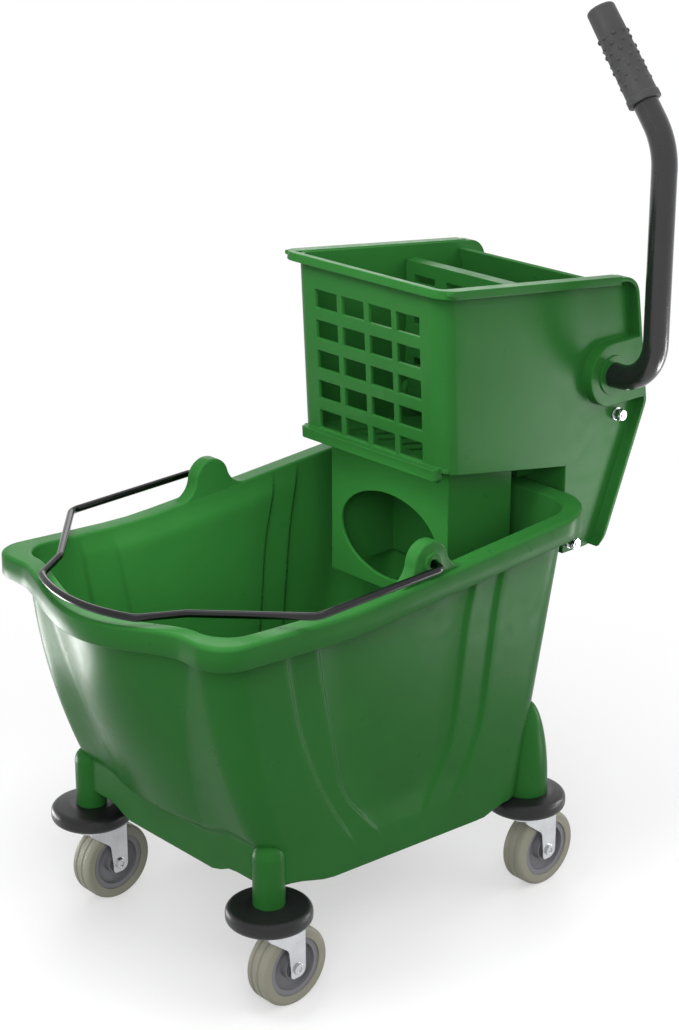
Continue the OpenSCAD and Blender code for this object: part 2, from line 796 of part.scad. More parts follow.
module front_wall() {
    run = 2 * basket_corner_r;
    front = -basket_len - over;
    rear = front + 2 * run;
    intersection() {
        leaning() translate([0, 0, -front_drop]) linear_extrude(basket_h + front_drop) difference() {
            front_plan(cheek_out - wall_step, basket_corner_r, 0, run);
            front_plan(cheek_in + wall_step, basket_corner_r - wringer_t, wringer_t, run + over);
        }
        along_y(-cheek_out, cheek_out) polygon([
            [front, bottom_line(front) + wall_step],
            [rear, bottom_line(rear) + wall_step],
            [rear, top_line(rear) - wall_step],
            [front, top_line(front) - wall_step],
        ]);
    }
}

// Cheek plate behind the rounded corner
module cheek(s) {
    from = cheek_pts[0].x + basket_corner_r + front_lean;
    along_y(min(s * cheek_in, s * cheek_out), max(s * cheek_in, s * cheek_out)) intersection() {
        polygon(cheek_outline);
        translate([from, -pocket_h - over])
            square([rear_reach - from + over, pocket_h + basket_h + 2 * over]);
    }
}

// Outward flange along the rear edges of a cheek
module rear_flange(s) {
    cut = inset(cheek_pts, [-over, -over, -over, flange_t, flange_t, flange_t, -over]);
    along_y(min(s * cheek_mid, s * flange_out), max(s * cheek_mid, s * flange_out)) difference() {
        polygon(cheek_outline);
        polygon(rounded(cut, [for (r = cheek_radii) max(0, r - flange_t)], 8));
        translate([cheek_pts[0].x, -pocket_h - over])
            square([pocket_run / 2 - cheek_pts[0].x, pocket_h + over]);
    }
}

// Flange round the basket's mouth with its turned-down lip; it stands a little above the walls' tops
mouth_front = 7;
mouth_rise = 1;
lip_t = 3;
module mouth_flange() {
    front = -basket_len - mouth_front;
    run = rear_top_u - cheek_top_r + basket_len + mouth_front;
    translate([front, 0, top_line(front) + mouth_rise]) rotate([0, top_tilt, 0]) {
        difference() {
            translate([0, -flange_out, -flange_drop])
                linear_extrude(flange_drop) mouth_plan(run, 0);
            translate([0, -flange_out, -flange_drop - over])
                linear_extrude(flange_drop - flange_t + over) mouth_plan(run + over, lip_t);
            translate([mouth_front + wringer_t / 2, -cheek_mid, -flange_drop - over])
                cube([run, 2 * cheek_mid, flange_drop + 2 * over]);
        }
    }
}
mouth_corner_r = 20;
module mouth_plan(run, d) {
    polygon(rounded([
        [d, d],
        [run, d],
        [run, 2 * flange_out - d],
        [d, 2 * flange_out - d],
    ], [mouth_corner_r - d, 0, 0, mouth_corner_r - d], 6));
}

// Shaft, gear and rod places in the wringer's frame
shaft_at = [51, 83];
lug_r = 6;
shaft_r = tube_d / 2;
gear_m = 2 * gear_reach / (drive_teeth + plate_teeth);
hinge_drop = 46;
hinge_at = shaft_at - [sqrt(gear_reach * gear_reach - hinge_drop * hinge_drop), hinge_drop];
tie_upper_at = [70, 38];
tie_lower_at = [wringer_t + lug_r + over / 2, lug_r + wringer_t - pocket_h];
boss_r = 31;
bush_wall = 5;
bush_r = shaft_r + bush_wall;
hinge_boss_r = 12;
hinge_boss_len = 6;
hinge_pin_d = 8;
hinge_bore_len = 8;
plate_half = cheek_in - hinge_boss_len - gap;

// D-shaped boss that carries a bush of the handle's shaft
module shaft_boss(s) {
    intersection() {
        union() {
            bar_y(shaft_at, boss_r, min(s * cheek_in, s * flange_out), max(s * cheek_in, s * flange_out));
            along_y(min(s * cheek_in, s * flange_out), max(s * cheek_in, s * flange_out))
                translate([shaft_at.x, shaft_at.y - boss_r]) square([rear_reach, 2 * boss_r]);
        }
        along_y(-flange_out, flange_out) polygon(cheek_outline);
    }
}

// Sloping floor of the basket, with drain slots above the skirt
slot_count = 7;
slot_w = 9;
skirt_front = 138;
skirt_rear = 54;
skirt_half = 80;
skirt_t = 3.5;
skirt_low = 119;
slot_in = 8;
floor_up = 0.6;

module basket_floor() {
    difference() {
        along_y(-cheek_in - over / 2, cheek_in + over / 2) polygon([
            cheek_pts[0] + [wringer_t / 2, floor_up],
            [0, floor_up],
            [wringer_t / 2, floor_up],
            [wringer_t / 2, floor_up + wringer_t],
            [0, floor_up + wringer_t],
            cheek_pts[0] + [wringer_t / 2, floor_up + wringer_t],
        ]);
        for (i = [0 : slot_count - 1])
            let (pitch = 2 * (skirt_half - slot_in) / slot_count)
            translate([slot_in - skirt_front, (i - (slot_count - 1) / 2) * pitch - slot_w / 2, -over])
                cube([skirt_front - skirt_rear - 2 * slot_in, slot_w, front_drop + 2 * wringer_t]);
    }
}

// Skirt that reaches down into the bucket, open below, with an oval drain in front
module skirt() {
    function side(d, low) = [
        [d - skirt_front, -low],
        [-skirt_rear - d, -low],
        [-skirt_rear - d, bottom_line(-skirt_rear - d) + wringer_t / 2],
        [d - skirt_front, bottom_line(d - skirt_front) + wringer_t / 2],
    ];
    difference() {
        along_y(-skirt_half, skirt_half) polygon(side(0, skirt_low));
        along_y(skirt_t - skirt_half, skirt_half - skirt_t)
            polygon(inset(side(skirt_t, skirt_low + over), [0, 0, wringer_t / 2, 0]));
        drain_cut();
    }
}

bead_r = 3.5;
bead_drop = 12;
bead_in = 12;
module skirt_bead() {
    bar_y([-skirt_front, bottom_line(-skirt_front) - bead_drop], bead_r,
        bead_in - skirt_half, skirt_half - bead_in);
}

drain_drop = 64;
drain_steps = 48;
module drain_cut() {
    translate([-skirt_front - over, 0, -drain_drop]) rotate([90, 0, 90]) linear_extrude(skirt_t + 2 * over)
        polygon([for (i = [0 : drain_steps - 1])
            [drain_w / 2 * cos(360 * i / drain_steps), drain_h / 2 * sin(360 * i / drain_steps)]]);
}

// Sieve openings through the front wall
sieve_gap_x = 7;
sieve_gap_z = 11.7;
sieve_low = 7;
module sieve_cut() {
    pitch_y = sieve_w + sieve_gap_x;
    pitch_z = sieve_h + sieve_gap_z;
    leaning() for (i = [0 : sieve_cols - 1]) for (k = [0 : sieve_rows - 1])
        translate([-over, (i - (sieve_cols - 1) / 2) * pitch_y - sieve_w / 2, sieve_low + k * pitch_z])
            cube([wringer_t + 2 * over, sieve_w, sieve_h]);
}

// Ridge along the foot of the front wall
ridge_out = 7;
ridge_h = 11;
ridge_round = 4;
ridge_in = 8;
module foot_ridge() {
    half = cheek_out - ridge_in;
    leaning() translate([-ridge_out, 0, -ridge_h / 2]) linear_extrude(ridge_h)
        polygon(rounded([
            [0, -half],
            [ridge_out + wringer_t - wall_step, -half],
            [ridge_out + wringer_t - wall_step, half],
            [0, half],
        ], [ridge_round, 0, 0, ridge_round]));
}

// Rear pocket: the wall behind the notch and its bottom
pocket_t = 3;
module pocket() {
    along_y(-cheek_in - over / 2, cheek_in + over / 2) polygon([
        [0, -pocket_h],
        [pocket_run / 2, -pocket_h],
        [pocket_run / 2, pocket_t - pocket_h],
        [wringer_t, pocket_t - pocket_h],
        [wringer_t, wringer_t + floor_up],
        [0, wringer_t + floor_up / 2],
    ]);
}

// Ribs that rest on the bucket's rear rim
saddle_y = 50;
saddle_t = 12;
saddle_in = 9;
module saddle_ribs() {
    from = saddle_in - notch_gap - rim_flange;
    for (s = [-1, 1]) along_y(s * saddle_y - saddle_t / 2, s * saddle_y + saddle_t / 2) polygon([
        [from, gap - saddle_h],
        [wringer_t / 2, gap - saddle_h],
        [wringer_t / 2, wringer_t / 2],
        [from, bottom_line(from) + wringer_t / 2],
    ]);
}

module wringer_body() {
    color(green) at_wringer() difference() {
        union() {
            difference() {
                front_wall();
                sieve_cut();
            }
            foot_ridge();
            for (s = [-1, 1]) {
                cheek(s);
                rear_flange(s);
                shaft_boss(s);
                bar_y(hinge_at, hinge_boss_r, min(s * cheek_out, s * (cheek_in - hinge_boss_len)),
                    max(s * cheek_out, s * (cheek_in - hinge_boss_len)));
            }
            mouth_flange();
            basket_floor();
            skirt();
            skirt_bead();
            pocket();
            saddle_ribs();
        }
        bar_y(shaft_at, bush_r + seat_fit, -flange_out - over, flange_out + over);
        for (at = [tie_upper_at, tie_lower_at])
            bar_y(at, tie_d / 2 + seat_fit, -flange_out - over, flange_out + over);
        bar_y(hinge_at, hinge_pin_d / 2 + run_fit,
            -plate_half - gap - hinge_bore_len, plate_half + gap + hinge_bore_len);
    }
}

// Rear cover: a bent sheet between the cheeks, hung on the tie rods by lugs
cover_t = 3.5;
cover_setback = 15;
cover_top_u = 50;
cover_top_gap = 6;
cover_side_gap = 0.2;
lug_y = 78;
lug_t = 8;
cover_half = cheek_in - cover_side_gap;
cover_line = inset(cheek_pts, [0, 0, 0, cover_setback, cover_setback, 0, 0]);
cover_path = [
    [pocket_run / 2 + gap, lug_r / 2 - pocket_h],
    [cover_line[3].x, lug_r / 2 - pocket_h],
    cover_line[4],
    [cover_top_u, top_line(cover_top_u) - cover_top_gap],
];
cover_bend_r = 14;

function cover_band(t) =
    let (p = cover_path, q = flip(beside(cover_path, t)), r = cover_bend_r, s = cover_bend_r - t)
    rounded(concat(p, q), [0, r, r, 0, 0, s, s, 0]);

module rear_cover() {
    color(dark_green) at_wringer() difference() {
        union() {
            along_y(-cover_half, cover_half) polygon(cover_band(cover_t));
            for (s = [-1, 1]) along_y(s * lug_y - lug_t / 2, s * lug_y + lug_t / 2) {
                translate(tie_upper_at) circle(r = lug_r);
                polygon([
                    tie_upper_at + [0, lug_r],
                    tie_upper_at - [0, lug_r],
                    cover_line[4] - [cover_t / 2, 2 * lug_r],
                    cover_line[4] - [cover_t / 2, 0],
                ]);
                translate(tie_lower_at) circle(r = lug_r);
                polygon([
                    tie_lower_at + [0, lug_r],
                    tie_lower_at - [0, lug_r / 2],
                    [cover_path[1].x, cover_path[1].y + cover_t / 2],
                    [cover_path[1].x, cover_path[1].y + cover_t],
                ]);
            }
        }
        for (at = [tie_upper_at, tie_lower_at])
            bar_y(at, tie_d / 2 + seat_fit, -cover_half - over, cover_half + over);
    }
}

// Tie rods with their washers and lock nuts
washer_t = 1.6;
washer_rim = 3.3;
washer_d = tie_d + 2 * washer_rim;
nut_h = 6;
nut_wall = 2.7;
nut_wide = tie_d + 2 * nut_wall;
nut_collar_h = 2;
tie_end = 1;
tie_half = cheek_out + washer_t + nut_h + nut_collar_h + tie_end;

module tie_rod(at) {
    color(zinc) at_wringer() bar_y(at, tie_d / 2, -tie_half, tie_half);
}
module tie_rod_upper() { tie_rod(tie_upper_at); }
module tie_rod_lower() { tie_rod(tie_lower_at); }

module at_tie_ends() {
    at_wringer() for (at = [tie_upper_at, tie_lower_at]) for (s = [-1, 1])
        translate([at.x, s * cheek_out, at.y]) rotate([-s * 90, 0, 0]) children();
}

module tie_washers() {
    color(zinc) at_tie_ends() difference() {
        cylinder(d = washer_d, h = washer_t);
        translate([0, 0, -over]) cylinder(d = tie_d + 2 * seat_fit, h = washer_t + 2 * over);
    }
}

module lock_nuts() {
    color(zinc) at_tie_ends() translate([0, 0, washer_t]) difference() {
        union() {
            cylinder(d = nut_wide, h = nut_h, $fn = 6);
            cylinder(d = nut_wide * cos(30), h = nut_h + nut_collar_h);
        }
        translate([0, 0, -over]) cylinder(d = tie_d + 2 * seat_fit, h = nut_h + nut_collar_h + 2 * over);
    }
}

// Bushes of the handle's shaft
bush_proud = 1.5;
bush_collar_h = 2;
bush_collar_r = bush_r + bush_collar_h;
module shaft_bush(s) {
    color(green) at_wringer() difference() {
        union() {
            bar_y(shaft_at, bush_r, min(s * cheek_in, s * flange_out), max(s * cheek_in, s * flange_out));
            bar_y(shaft_at, bush_collar_r, min(s * flange_out, s * (flange_out + bush_proud)),
                max(s * flange_out, s * (flange_out + bush_proud)));
        }
        bar_y(shaft_at, shaft_r + run_fit, -flange_out - 2 * bush_proud, flange_out + 2 * bush_proud);
    }
}
module shaft_bush_left() { shaft_bush(-1); }
module shaft_bush_right() { shaft_bush(1); }

// Handle

low_bend_r = 42;
top_bend_r = 70;
shaft_end = flange_out + 2 * bush_proud;
top_bend_run = top_bend_r * tan(grip_lean / 2);

// The tube's line: shaft, lower bend, riser, upper bend and the grip's straight
module handle_line(r, extra) {
    rise = riser_h - low_bend_r - top_bend_run;
    trim = bead_gap / top_bend_r * 180 / PI;
    bar_y([0, 0], r, low_bend_r - riser_y, shaft_end + extra);
    translate([0, low_bend_r - riser_y, low_bend_r]) rotate([0, 90, 0])
        rotate_extrude(angle = -90, $fn = 72) translate([low_bend_r, 0]) circle(r = r);
    translate([0, -riser_y, low_bend_r]) {
        cylinder(r = r, h = rise - bead_gap);
        translate([0, 0, rise]) sphere(r = r + bead_rise);
        translate([0, top_bend_r, rise]) rotate([0, 90, 0]) rotate([0, 0, -90 - trim])
            rotate_extrude(angle = 2 * trim - grip_lean, $fn = 72) translate([top_bend_r, 0]) circle(r = r);
    }
    at_grip() translate([0, 0, top_bend_run]) {
        sphere(r = r + bead_rise);
        translate([0, 0, bead_gap])
            cylinder(r = r, h = grip_reach - top_bend_run - grip_cap - bead_gap + extra);
    }
}
grip_cap = 4;
module at_grip() {
    translate([0, -riser_y, riser_h]) rotate([-grip_lean, 0, 0]) children();
}
module at_shaft() {
    at_wringer() translate([shaft_at.x, 0, shaft_at.y]) children();
}

drive_pin_d = 5;
module handle_tube() {
    color(black) at_shaft() difference() {
        handle_line(shaft_r, 0);
        handle_line(shaft_r - tube_t, over);
        for (s = [-1, 1]) drive_pin_bar(s, drive_pin_d / 2 + seat_fit);
    }
}

grip_taper = 1.5;
grip_collar = 7;
grip_collar_h = 1;
grip_round = 3;
// Dots of the grip: staggered rows of half-sunk balls
dot_rows = 7;
dots_round = 8;
dot_r = 2.6;
dot_sink = 1.2;
dot_from = 20;
dot_pitch = 8;
module hand_grip() {
    r = grip_d / 2;
    low = grip_reach - grip_len;
    color(black) at_shaft() at_grip() difference() {
        union() {
            rotate_extrude() polygon(rounded([
                [0, low],
                [r + grip_collar_h, low],
                [r + grip_collar_h, low + grip_collar],
                [r, low + grip_collar + grip_collar_h],
                [r - grip_taper, grip_reach],
                [0, grip_reach],
            ], [0, grip_collar_h, grip_collar_h, 0, grip_round, 0]));
            for (k = [0 : dot_rows - 1]) for (i = [0 : dots_round - 1])
                rotate([0, 0, 360 / dots_round * (i + k % 2 / 2)])
                    translate([r - grip_taper / 2 - dot_sink, 0, low + dot_from + k * dot_pitch])
                        sphere(r = dot_r, $fn = 16);
        }
        translate([0, 0, low - over])
            cylinder(r = shaft_r + seat_fit, h = grip_len - grip_cap + seat_fit + over);
    }
}

cap_flange = 3;
cap_t = 3;
cap_plug = 12;
module shaft_cap() {
    color(black) at_shaft() {
        bar_y([0, 0], shaft_r + cap_flange, shaft_end, shaft_end + cap_t);
        bar_y([0, 0], shaft_r - tube_t - seat_fit, shaft_end - cap_plug, shaft_end);
    }
}

collar_w = 10;
collar_wall = 5;
module shaft_collar() {
    color(zinc) at_shaft() difference() {
        bar_y([0, 0], shaft_r + collar_wall, gap - cheek_in, gap - cheek_in + collar_w);
        bar_y([0, 0], shaft_r + seat_fit, gap - cheek_in - over, gap - cheek_in + collar_w + over);
    }
}

// Gears: involute teeth with a named backlash

pressure_angle = 25;
addendum_share = 0.95;
dedendum_share = 1.25;
backlash = 0.7;
flank_steps = 5;
gear_y = 58;
hub_wall = 5.5;
mesh_angle = atan2(shaft_at.y - hinge_at.y, shaft_at.x - hinge_at.x);
drive_pitch_r = gear_m * drive_teeth / 2;
plate_pitch_r = gear_m * plate_teeth / 2;

// Angle, in degrees, that an involute has turned at radius r from its base circle
function involute(base, r) =
    let (a = sqrt(max(0, r * r - base * base)) / base) a * 180 / PI - atan(a);

// One tooth along +X from its root to its tip
function tooth_points(teeth) =
    let (
        pitch = gear_m * teeth / 2,
        base = pitch * cos(pressure_angle),
        root = pitch - dedendum_share * gear_m,
        tip = pitch + addendum_share * gear_m,
        from = max(base, root - gear_m / 4),
        half = 90 / teeth - backlash / 4 / pitch * 180 / PI + involute(base, pitch),
        flank = [for (i = [0 : flank_steps])
            let (r = lerp(from, tip, i / flank_steps), a = half - involute(base, r)) [r, a]],
        foot = [[root - gear_m / 2, half - involute(base, from)]]
    )
    concat(
        [for (p = concat(foot, flank)) p.x * [cos(p.y), -sin(p.y)]],
        [for (p = flip(concat(foot, flank))) p.x * [cos(p.y), sin(p.y)]]
    );

module teeth_at(teeth, angles) {
    for (a = angles) rotate(a) polygon(tooth_points(teeth));
}

drive_first = -1;
drive_last = 4;
drive_root_r = drive_pitch_r - dedendum_share * gear_m;
hub_extra = 3;

module drive_pin_bar(s, r) {
    reach = shaft_r + hub_wall;
    translate([-reach, s * gear_y, 0]) rotate([0, 90, 0]) cylinder(r = r, h = 2 * reach);
}

module drive_gear(s) {
    step = 360 / drive_teeth;
    color(black) at_shaft() difference() {
        union() {
            bar_y([0, 0], shaft_r + hub_wall,
                s * gear_y - gear_w / 2 - hub_extra, s * gear_y + gear_w / 2 + hub_extra);
            along_y(s * gear_y - gear_w / 2, s * gear_y + gear_w / 2) {
                circle(r = drive_root_r);
                teeth_at(drive_teeth, [for (k = [drive_first : drive_last]) mesh_angle + 180 + k * step]);
            }
        }
        bar_y([0, 0], shaft_r + seat_fit, -cheek_in, cheek_in);
        drive_pin_bar(s, drive_pin_d / 2 + seat_fit);
    }
}
module drive_gear_left() { drive_gear(-1); }
module drive_gear_right() { drive_gear(1); }

module drive_pins() {
    color(zinc) at_shaft() for (s = [-1, 1]) drive_pin_bar(s, drive_pin_d / 2);
}

// Press plate

plate_t = 5;
plate_front = 9;
barrel_r = 9;
plate_top_gap = 14;
plate_side_gap = 2.5;
plate_rib_t = 3;
plate_rib_h = 8;
plate_slot_w = 28;
plate_slot_h = 8;
plate_slot_cols = 4;
plate_slot_rows = 5;
plate_slot_low = 30;
plate_up = top_line(hinge_at.x - plate_front) - hinge_at.y - plate_top_gap;
plate_wide = cheek_in - plate_side_gap;
boss_clear = 3;

module at_hinge() {
    at_wringer() translate([hinge_at.x, 0, hinge_at.y]) children();
}

module press_plate() {
    rise = hinge_boss_r + boss_clear;
    pitch_z = (plate_up - plate_slot_low) / plate_slot_rows;
    pitch_y = 2 * plate_half / plate_slot_cols;
    color(green) at_hinge() difference() {
        union() {
            bar_y([0, 0], barrel_r, -plate_half, plate_half);
            translate([-plate_front, -plate_half, 0]) cube([plate_t, 2 * plate_half, plate_up]);
            translate([-plate_front, -plate_wide, rise]) cube([plate_t, 2 * plate_wide, plate_up - rise]);
            translate([-plate_front, -plate_wide, plate_up - plate_t])
                cube([plate_t + plate_rib_h, 2 * plate_wide, plate_t]);
            for (s = [-1, 1])
                translate([-plate_front, s * (plate_wide - plate_rib_t / 2) - plate_rib_t / 2, rise])
                    cube([plate_t + plate_rib_h, plate_rib_t, plate_up - rise]);
            translate([-plate_front, -plate_rib_t / 2, 0])
                cube([plate_t + plate_rib_h, plate_rib_t, plate_up]);
        }
        for (i = [0 : plate_slot_cols - 1]) for (k = [0 : plate_slot_rows - 1])
            translate([-plate_front - over, (i - (plate_slot_cols - 1) / 2) * pitch_y - plate_slot_w / 2,
                plate_slot_low + k * pitch_z])
                cube([plate_t + 2 * over, plate_slot_w, plate_slot_h]);
        for (s = [-1, 1]) {
            bar_y([0, 0], hinge_pin_d / 2 + seat_fit, min(s * (plate_half - pin_in), s * (plate_half + over)),
                max(s * (plate_half - pin_in), s * (plate_half + over)));
            gear_screw_bars(s, screw_d / 2 + seat_fit, screw_in, 0);
        }
    }
}

pin_in = 22;
module hinge_pin(s) {
    color(zinc) at_hinge() bar_y([0, 0], hinge_pin_d / 2,
        min(s * (plate_half - pin_in), s * (plate_half + hinge_bore_len)),
        max(s * (plate_half - pin_in), s * (plate_half + hinge_bore_len)));
}
module hinge_pin_left() { hinge_pin(-1); }
module hinge_pin_right() { hinge_pin(1); }

// Gear sectors on the back of the press plate
plate_first = -6;
plate_last = 1;
plate_root_r = plate_pitch_r - dedendum_share * gear_m;
foot_t = 4;
foot_half = 15;
foot_low = 14;
foot_high = 50;
screw_d = 4;
screw_in = 4;
screw_head_d = 8;
screw_head_t = 2.5;
screw_off = 10;
screw_high = 43;
plate_back = plate_t - plate_front;
sector_hole_r = 8;
sector_hole_share = 0.62;
// How far the sector's cutting wedge runs out past its root circle
sector_wedge_share = 1.2;

// Screws through the foot of a sector: depth into the plate, and length past its back
module gear_screw_bars(s, r, into, out) {
    for (d = [-1, 1])
        translate([plate_back - into, s * gear_y + d * screw_off, screw_high])
            rotate([0, 90, 0]) cylinder(r = r, h = into + out);
}

module plate_gear(s) {
    step = 360 / plate_teeth;
    angles = [for (k = [plate_first : plate_last]) mesh_angle + (2 * k + 1) * step / 2];
    low = angles[0] - step / 2;
    high = angles[len(angles) - 1] + step / 2;
    mid = (low + high) / 2;
    wedge_r = sector_wedge_share * plate_root_r;
    color(black) at_hinge() difference() {
        union() {
            along_y(s * gear_y - gear_w / 2, s * gear_y + gear_w / 2) {
                difference() {
                    intersection() {
                        circle(r = plate_root_r, $fn = 96);
                        polygon([
                            [plate_back, -barrel_r / 2],
                            wedge_r * [cos(low), sin(low)],
                            wedge_r * [cos(mid), sin(mid)],
                            wedge_r * [cos(high), sin(high)],
                            [plate_back, foot_high - foot_t],
                        ]);
                    }
                    translate(sector_hole_share * plate_root_r * [cos(mid), sin(mid)])
                        circle(r = sector_hole_r);
                }
                teeth_at(plate_teeth, angles);
            }
            translate([plate_back, s * gear_y - foot_half, foot_low])
                cube([foot_t, 2 * foot_half, foot_high - foot_low]);
        }
        bar_y([0, 0], barrel_r + seat_fit, -cheek_in, cheek_in);
        gear_screw_bars(s, screw_d / 2 + seat_fit, over, foot_t + over);
    }
}
module plate_gear_left() { plate_gear(-1); }
module plate_gear_right() { plate_gear(1); }

module gear_screws() {
    color(zinc) at_hinge() for (s = [-1, 1]) {
        gear_screw_bars(s, screw_d / 2, screw_in, foot_t);
        for (d = [-1, 1]) translate([plate_back + foot_t, s * gear_y + d * screw_off, screw_high])
            rotate([0, 90, 0]) cylinder(d = screw_head_d, h = screw_head_t);
    }
}

bucket();
bail();
wringer_body();
rear_cover();
tie_rod_upper();
tie_rod_lower();
tie_washers();
lock_nuts();
shaft_bush_left();
shaft_bush_right();
handle_tube();
hand_grip();
shaft_cap();
shaft_collar();
drive_pins();
drive_gear_left();
drive_gear_right();
press_plate();
plate_gear_left();
plate_gear_right();
gear_screws();
hinge_pin_left();
hinge_pin_right();
for (corner = CORNERS) {
    bumper(corner);
    caster_stem(corner);
    fork(corner);
    axle(corner);
    wheel_bush(corner);
    wheel_core(corner);
    tyre(corner);
}
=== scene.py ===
import math

import bmesh
import bpy
import numpy as np
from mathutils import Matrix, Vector


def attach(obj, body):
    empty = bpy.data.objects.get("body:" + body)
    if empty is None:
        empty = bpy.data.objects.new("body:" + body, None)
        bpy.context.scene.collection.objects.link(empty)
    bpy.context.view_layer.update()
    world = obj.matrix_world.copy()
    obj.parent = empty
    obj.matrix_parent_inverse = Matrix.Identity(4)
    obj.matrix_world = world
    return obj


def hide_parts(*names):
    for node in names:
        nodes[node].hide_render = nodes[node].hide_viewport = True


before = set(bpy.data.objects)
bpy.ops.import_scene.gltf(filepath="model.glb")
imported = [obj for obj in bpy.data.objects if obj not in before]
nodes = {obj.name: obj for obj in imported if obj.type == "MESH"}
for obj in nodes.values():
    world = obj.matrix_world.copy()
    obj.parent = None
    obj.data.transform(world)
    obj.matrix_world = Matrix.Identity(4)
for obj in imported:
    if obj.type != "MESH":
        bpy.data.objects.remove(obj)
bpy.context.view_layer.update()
scene = bpy.context.scene
MM = 0.001
TINY = 1e-6


# Small maths shared by the shapes
def lerp(a, b, t):
    return a + (b - a) * t


def smooth(t):
    t = np.clip(t, 0, 1)
    return t * t * (3 - 2 * t)


def ramp(v, soft):
    return (np.sqrt(v * v + soft * soft) + v) / 2


def lookup(t, table):
    xs, ys = zip(*table)
    return np.interp(t, xs, ys)


def arc(cx, cy, r, a0, a1, n):
    return [(cx + r * math.cos(a), cy + r * math.sin(a)) for a in np.radians(np.linspace(a0, a1, n))]


# Materials
# Most noise values lie between these two
NOISE_LOW, NOISE_HIGH = 0.3, 0.7
# Gloss: how much finer its clouds are than the colour's, its least roughness, its spread, and the coat's
GLOSS_FINER, LEAST_ROUGH, ROUGH_BY, COAT_ROUGH = 5, 0.02, 0.05, 0.1
# Depth of the grain and radius of the rounding seen on edges, in metres; size and strength of slow waves
GRAIN_DEPTH, EDGE_ROUND, EDGE_SAMPLES = 0.0004, 0.0008, 4
WAVE_SCALE, WAVE_STRENGTH = 9, 0.5


def noise(nt, coord, scale, detail=3.0):
    n = nt.nodes.new("ShaderNodeTexNoise")
    n.inputs["Scale"].default_value = scale
    n.inputs["Detail"].default_value = detail
    nt.links.new(coord, n.inputs["Vector"])
    return n.outputs["Fac"]


def spread(nt, fac, low, high):
    """A noise value stretched over the range from low to high."""
    m = nt.nodes.new("ShaderNodeMapRange")
    limits = (("From Min", NOISE_LOW), ("From Max", NOISE_HIGH), ("To Min", low), ("To Max", high))
    for socket, value in limits:
        m.inputs[socket].default_value = value
    nt.links.new(fac, m.inputs["Value"])
    return m.outputs["Result"]


def bump(nt, height, normal, strength, depth):
    b = nt.nodes.new("ShaderNodeBump")
    b.inputs["Strength"].default_value = strength
    b.inputs["Distance"].default_value = depth
    nt.links.new(height, b.inputs["Height"])
    nt.links.new(normal, b.inputs["Normal"])
    return b.outputs["Normal"]


def material(name, colour, rough, metallic=0.0, specular=0.5, coat=0.0, shade=0.08, shade_scale=14,
             grain_scale=1500, grain_strength=0.12, wave=0.0, brushed=None):
    """A solid finish: cloudy colour, uneven gloss, fine grain and slightly rounded edges."""
    mat = bpy.data.materials.new(name)
    mat.use_nodes = True
    nt = mat.node_tree
    bsdf = nt.nodes["Principled BSDF"]
    bsdf.inputs["Metallic"].default_value = metallic
    bsdf.inputs["Specular IOR Level"].default_value = specular
    bsdf.inputs["Coat Weight"].default_value = coat
    bsdf.inputs["Coat Roughness"].default_value = COAT_ROUGH
    coord = nt.nodes.new("ShaderNodeTexCoord").outputs["Object"]
    lines = coord
    if brushed:
        stretch = nt.nodes.new("ShaderNodeMapping")
        stretch.inputs["Scale"].default_value = brushed
        nt.links.new(coord, stretch.inputs["Vector"])
        lines = stretch.outputs["Vector"]
    mix = nt.nodes.new("ShaderNodeMix")
    mix.data_type = "RGBA"
    mix.inputs["A"].default_value = (*[c * (1 - shade) for c in colour], 1)
    mix.inputs["B"].default_value = (*[min(1, c * (1 + shade)) for c in colour], 1)
    nt.links.new(spread(nt, noise(nt, coord, shade_scale), 0, 1), mix.inputs["Factor"])
    nt.links.new(mix.outputs["Result"], bsdf.inputs["Base Color"])
    gloss = noise(nt, lines, shade_scale * GLOSS_FINER, 4)
    uneven = spread(nt, gloss, max(LEAST_ROUGH, rough - ROUGH_BY), rough + ROUGH_BY)
    nt.links.new(uneven, bsdf.inputs["Roughness"])
    bevel = nt.nodes.new("ShaderNodeBevel")
    bevel.samples = EDGE_SAMPLES
    bevel.inputs["Radius"].default_value = EDGE_ROUND
    normal = bevel.outputs["Normal"]
    if wave:
        normal = bump(nt, noise(nt, coord, WAVE_SCALE, 1), normal, WAVE_STRENGTH, wave)
    normal = bump(nt, noise(nt, lines, grain_scale, 2), normal, grain_strength, GRAIN_DEPTH)
    nt.links.new(normal, bsdf.inputs["Normal"])
    return mat


GREEN = material("green_moulding", (0.021, 0.124, 0.023), 0.32, specular=0.06, shade=0.05, wave=0.0005,
                 grain_strength=0.08)
GREEN_PRESS = material("green_press", (0.019, 0.114, 0.021), 0.36, specular=0.06, shade=0.06)
RUBBER = material("black_bumper", (0.010, 0.010, 0.011), 0.36, specular=0.35, shade=0.2,
                  grain_strength=0.2)
TUBE = material("black_paint", (0.010, 0.010, 0.011), 0.26, specular=0.4, coat=0.4, shade=0.2)
GRIP = material("black_grip", (0.030, 0.030, 0.031), 0.50, shade=0.2, grain_strength=0.3,
                grain_scale=1100)
NYLON = material("black_nylon", (0.016, 0.016, 0.017), 0.45, shade=0.2)
WIRE = material("dark_wire", (0.040, 0.040, 0.042), 0.14, metallic=1.0, shade=0.15, grain_strength=0.05)
ZINC = material("zinc_plate", (0.56, 0.57, 0.59), 0.24, metallic=1.0, shade=0.08, shade_scale=60,
                grain_strength=0.08, brushed=(1, 1, 0.2))
TYRE = material("grey_tyre", (0.285, 0.280, 0.220), 0.50, specular=0.3, shade=0.08, grain_strength=0.3)
CORE = material("grey_core", (0.185, 0.185, 0.200), 0.42, shade=0.08)
BUSH = material("dark_bush", (0.055, 0.055, 0.062), 0.45, shade=0.1)

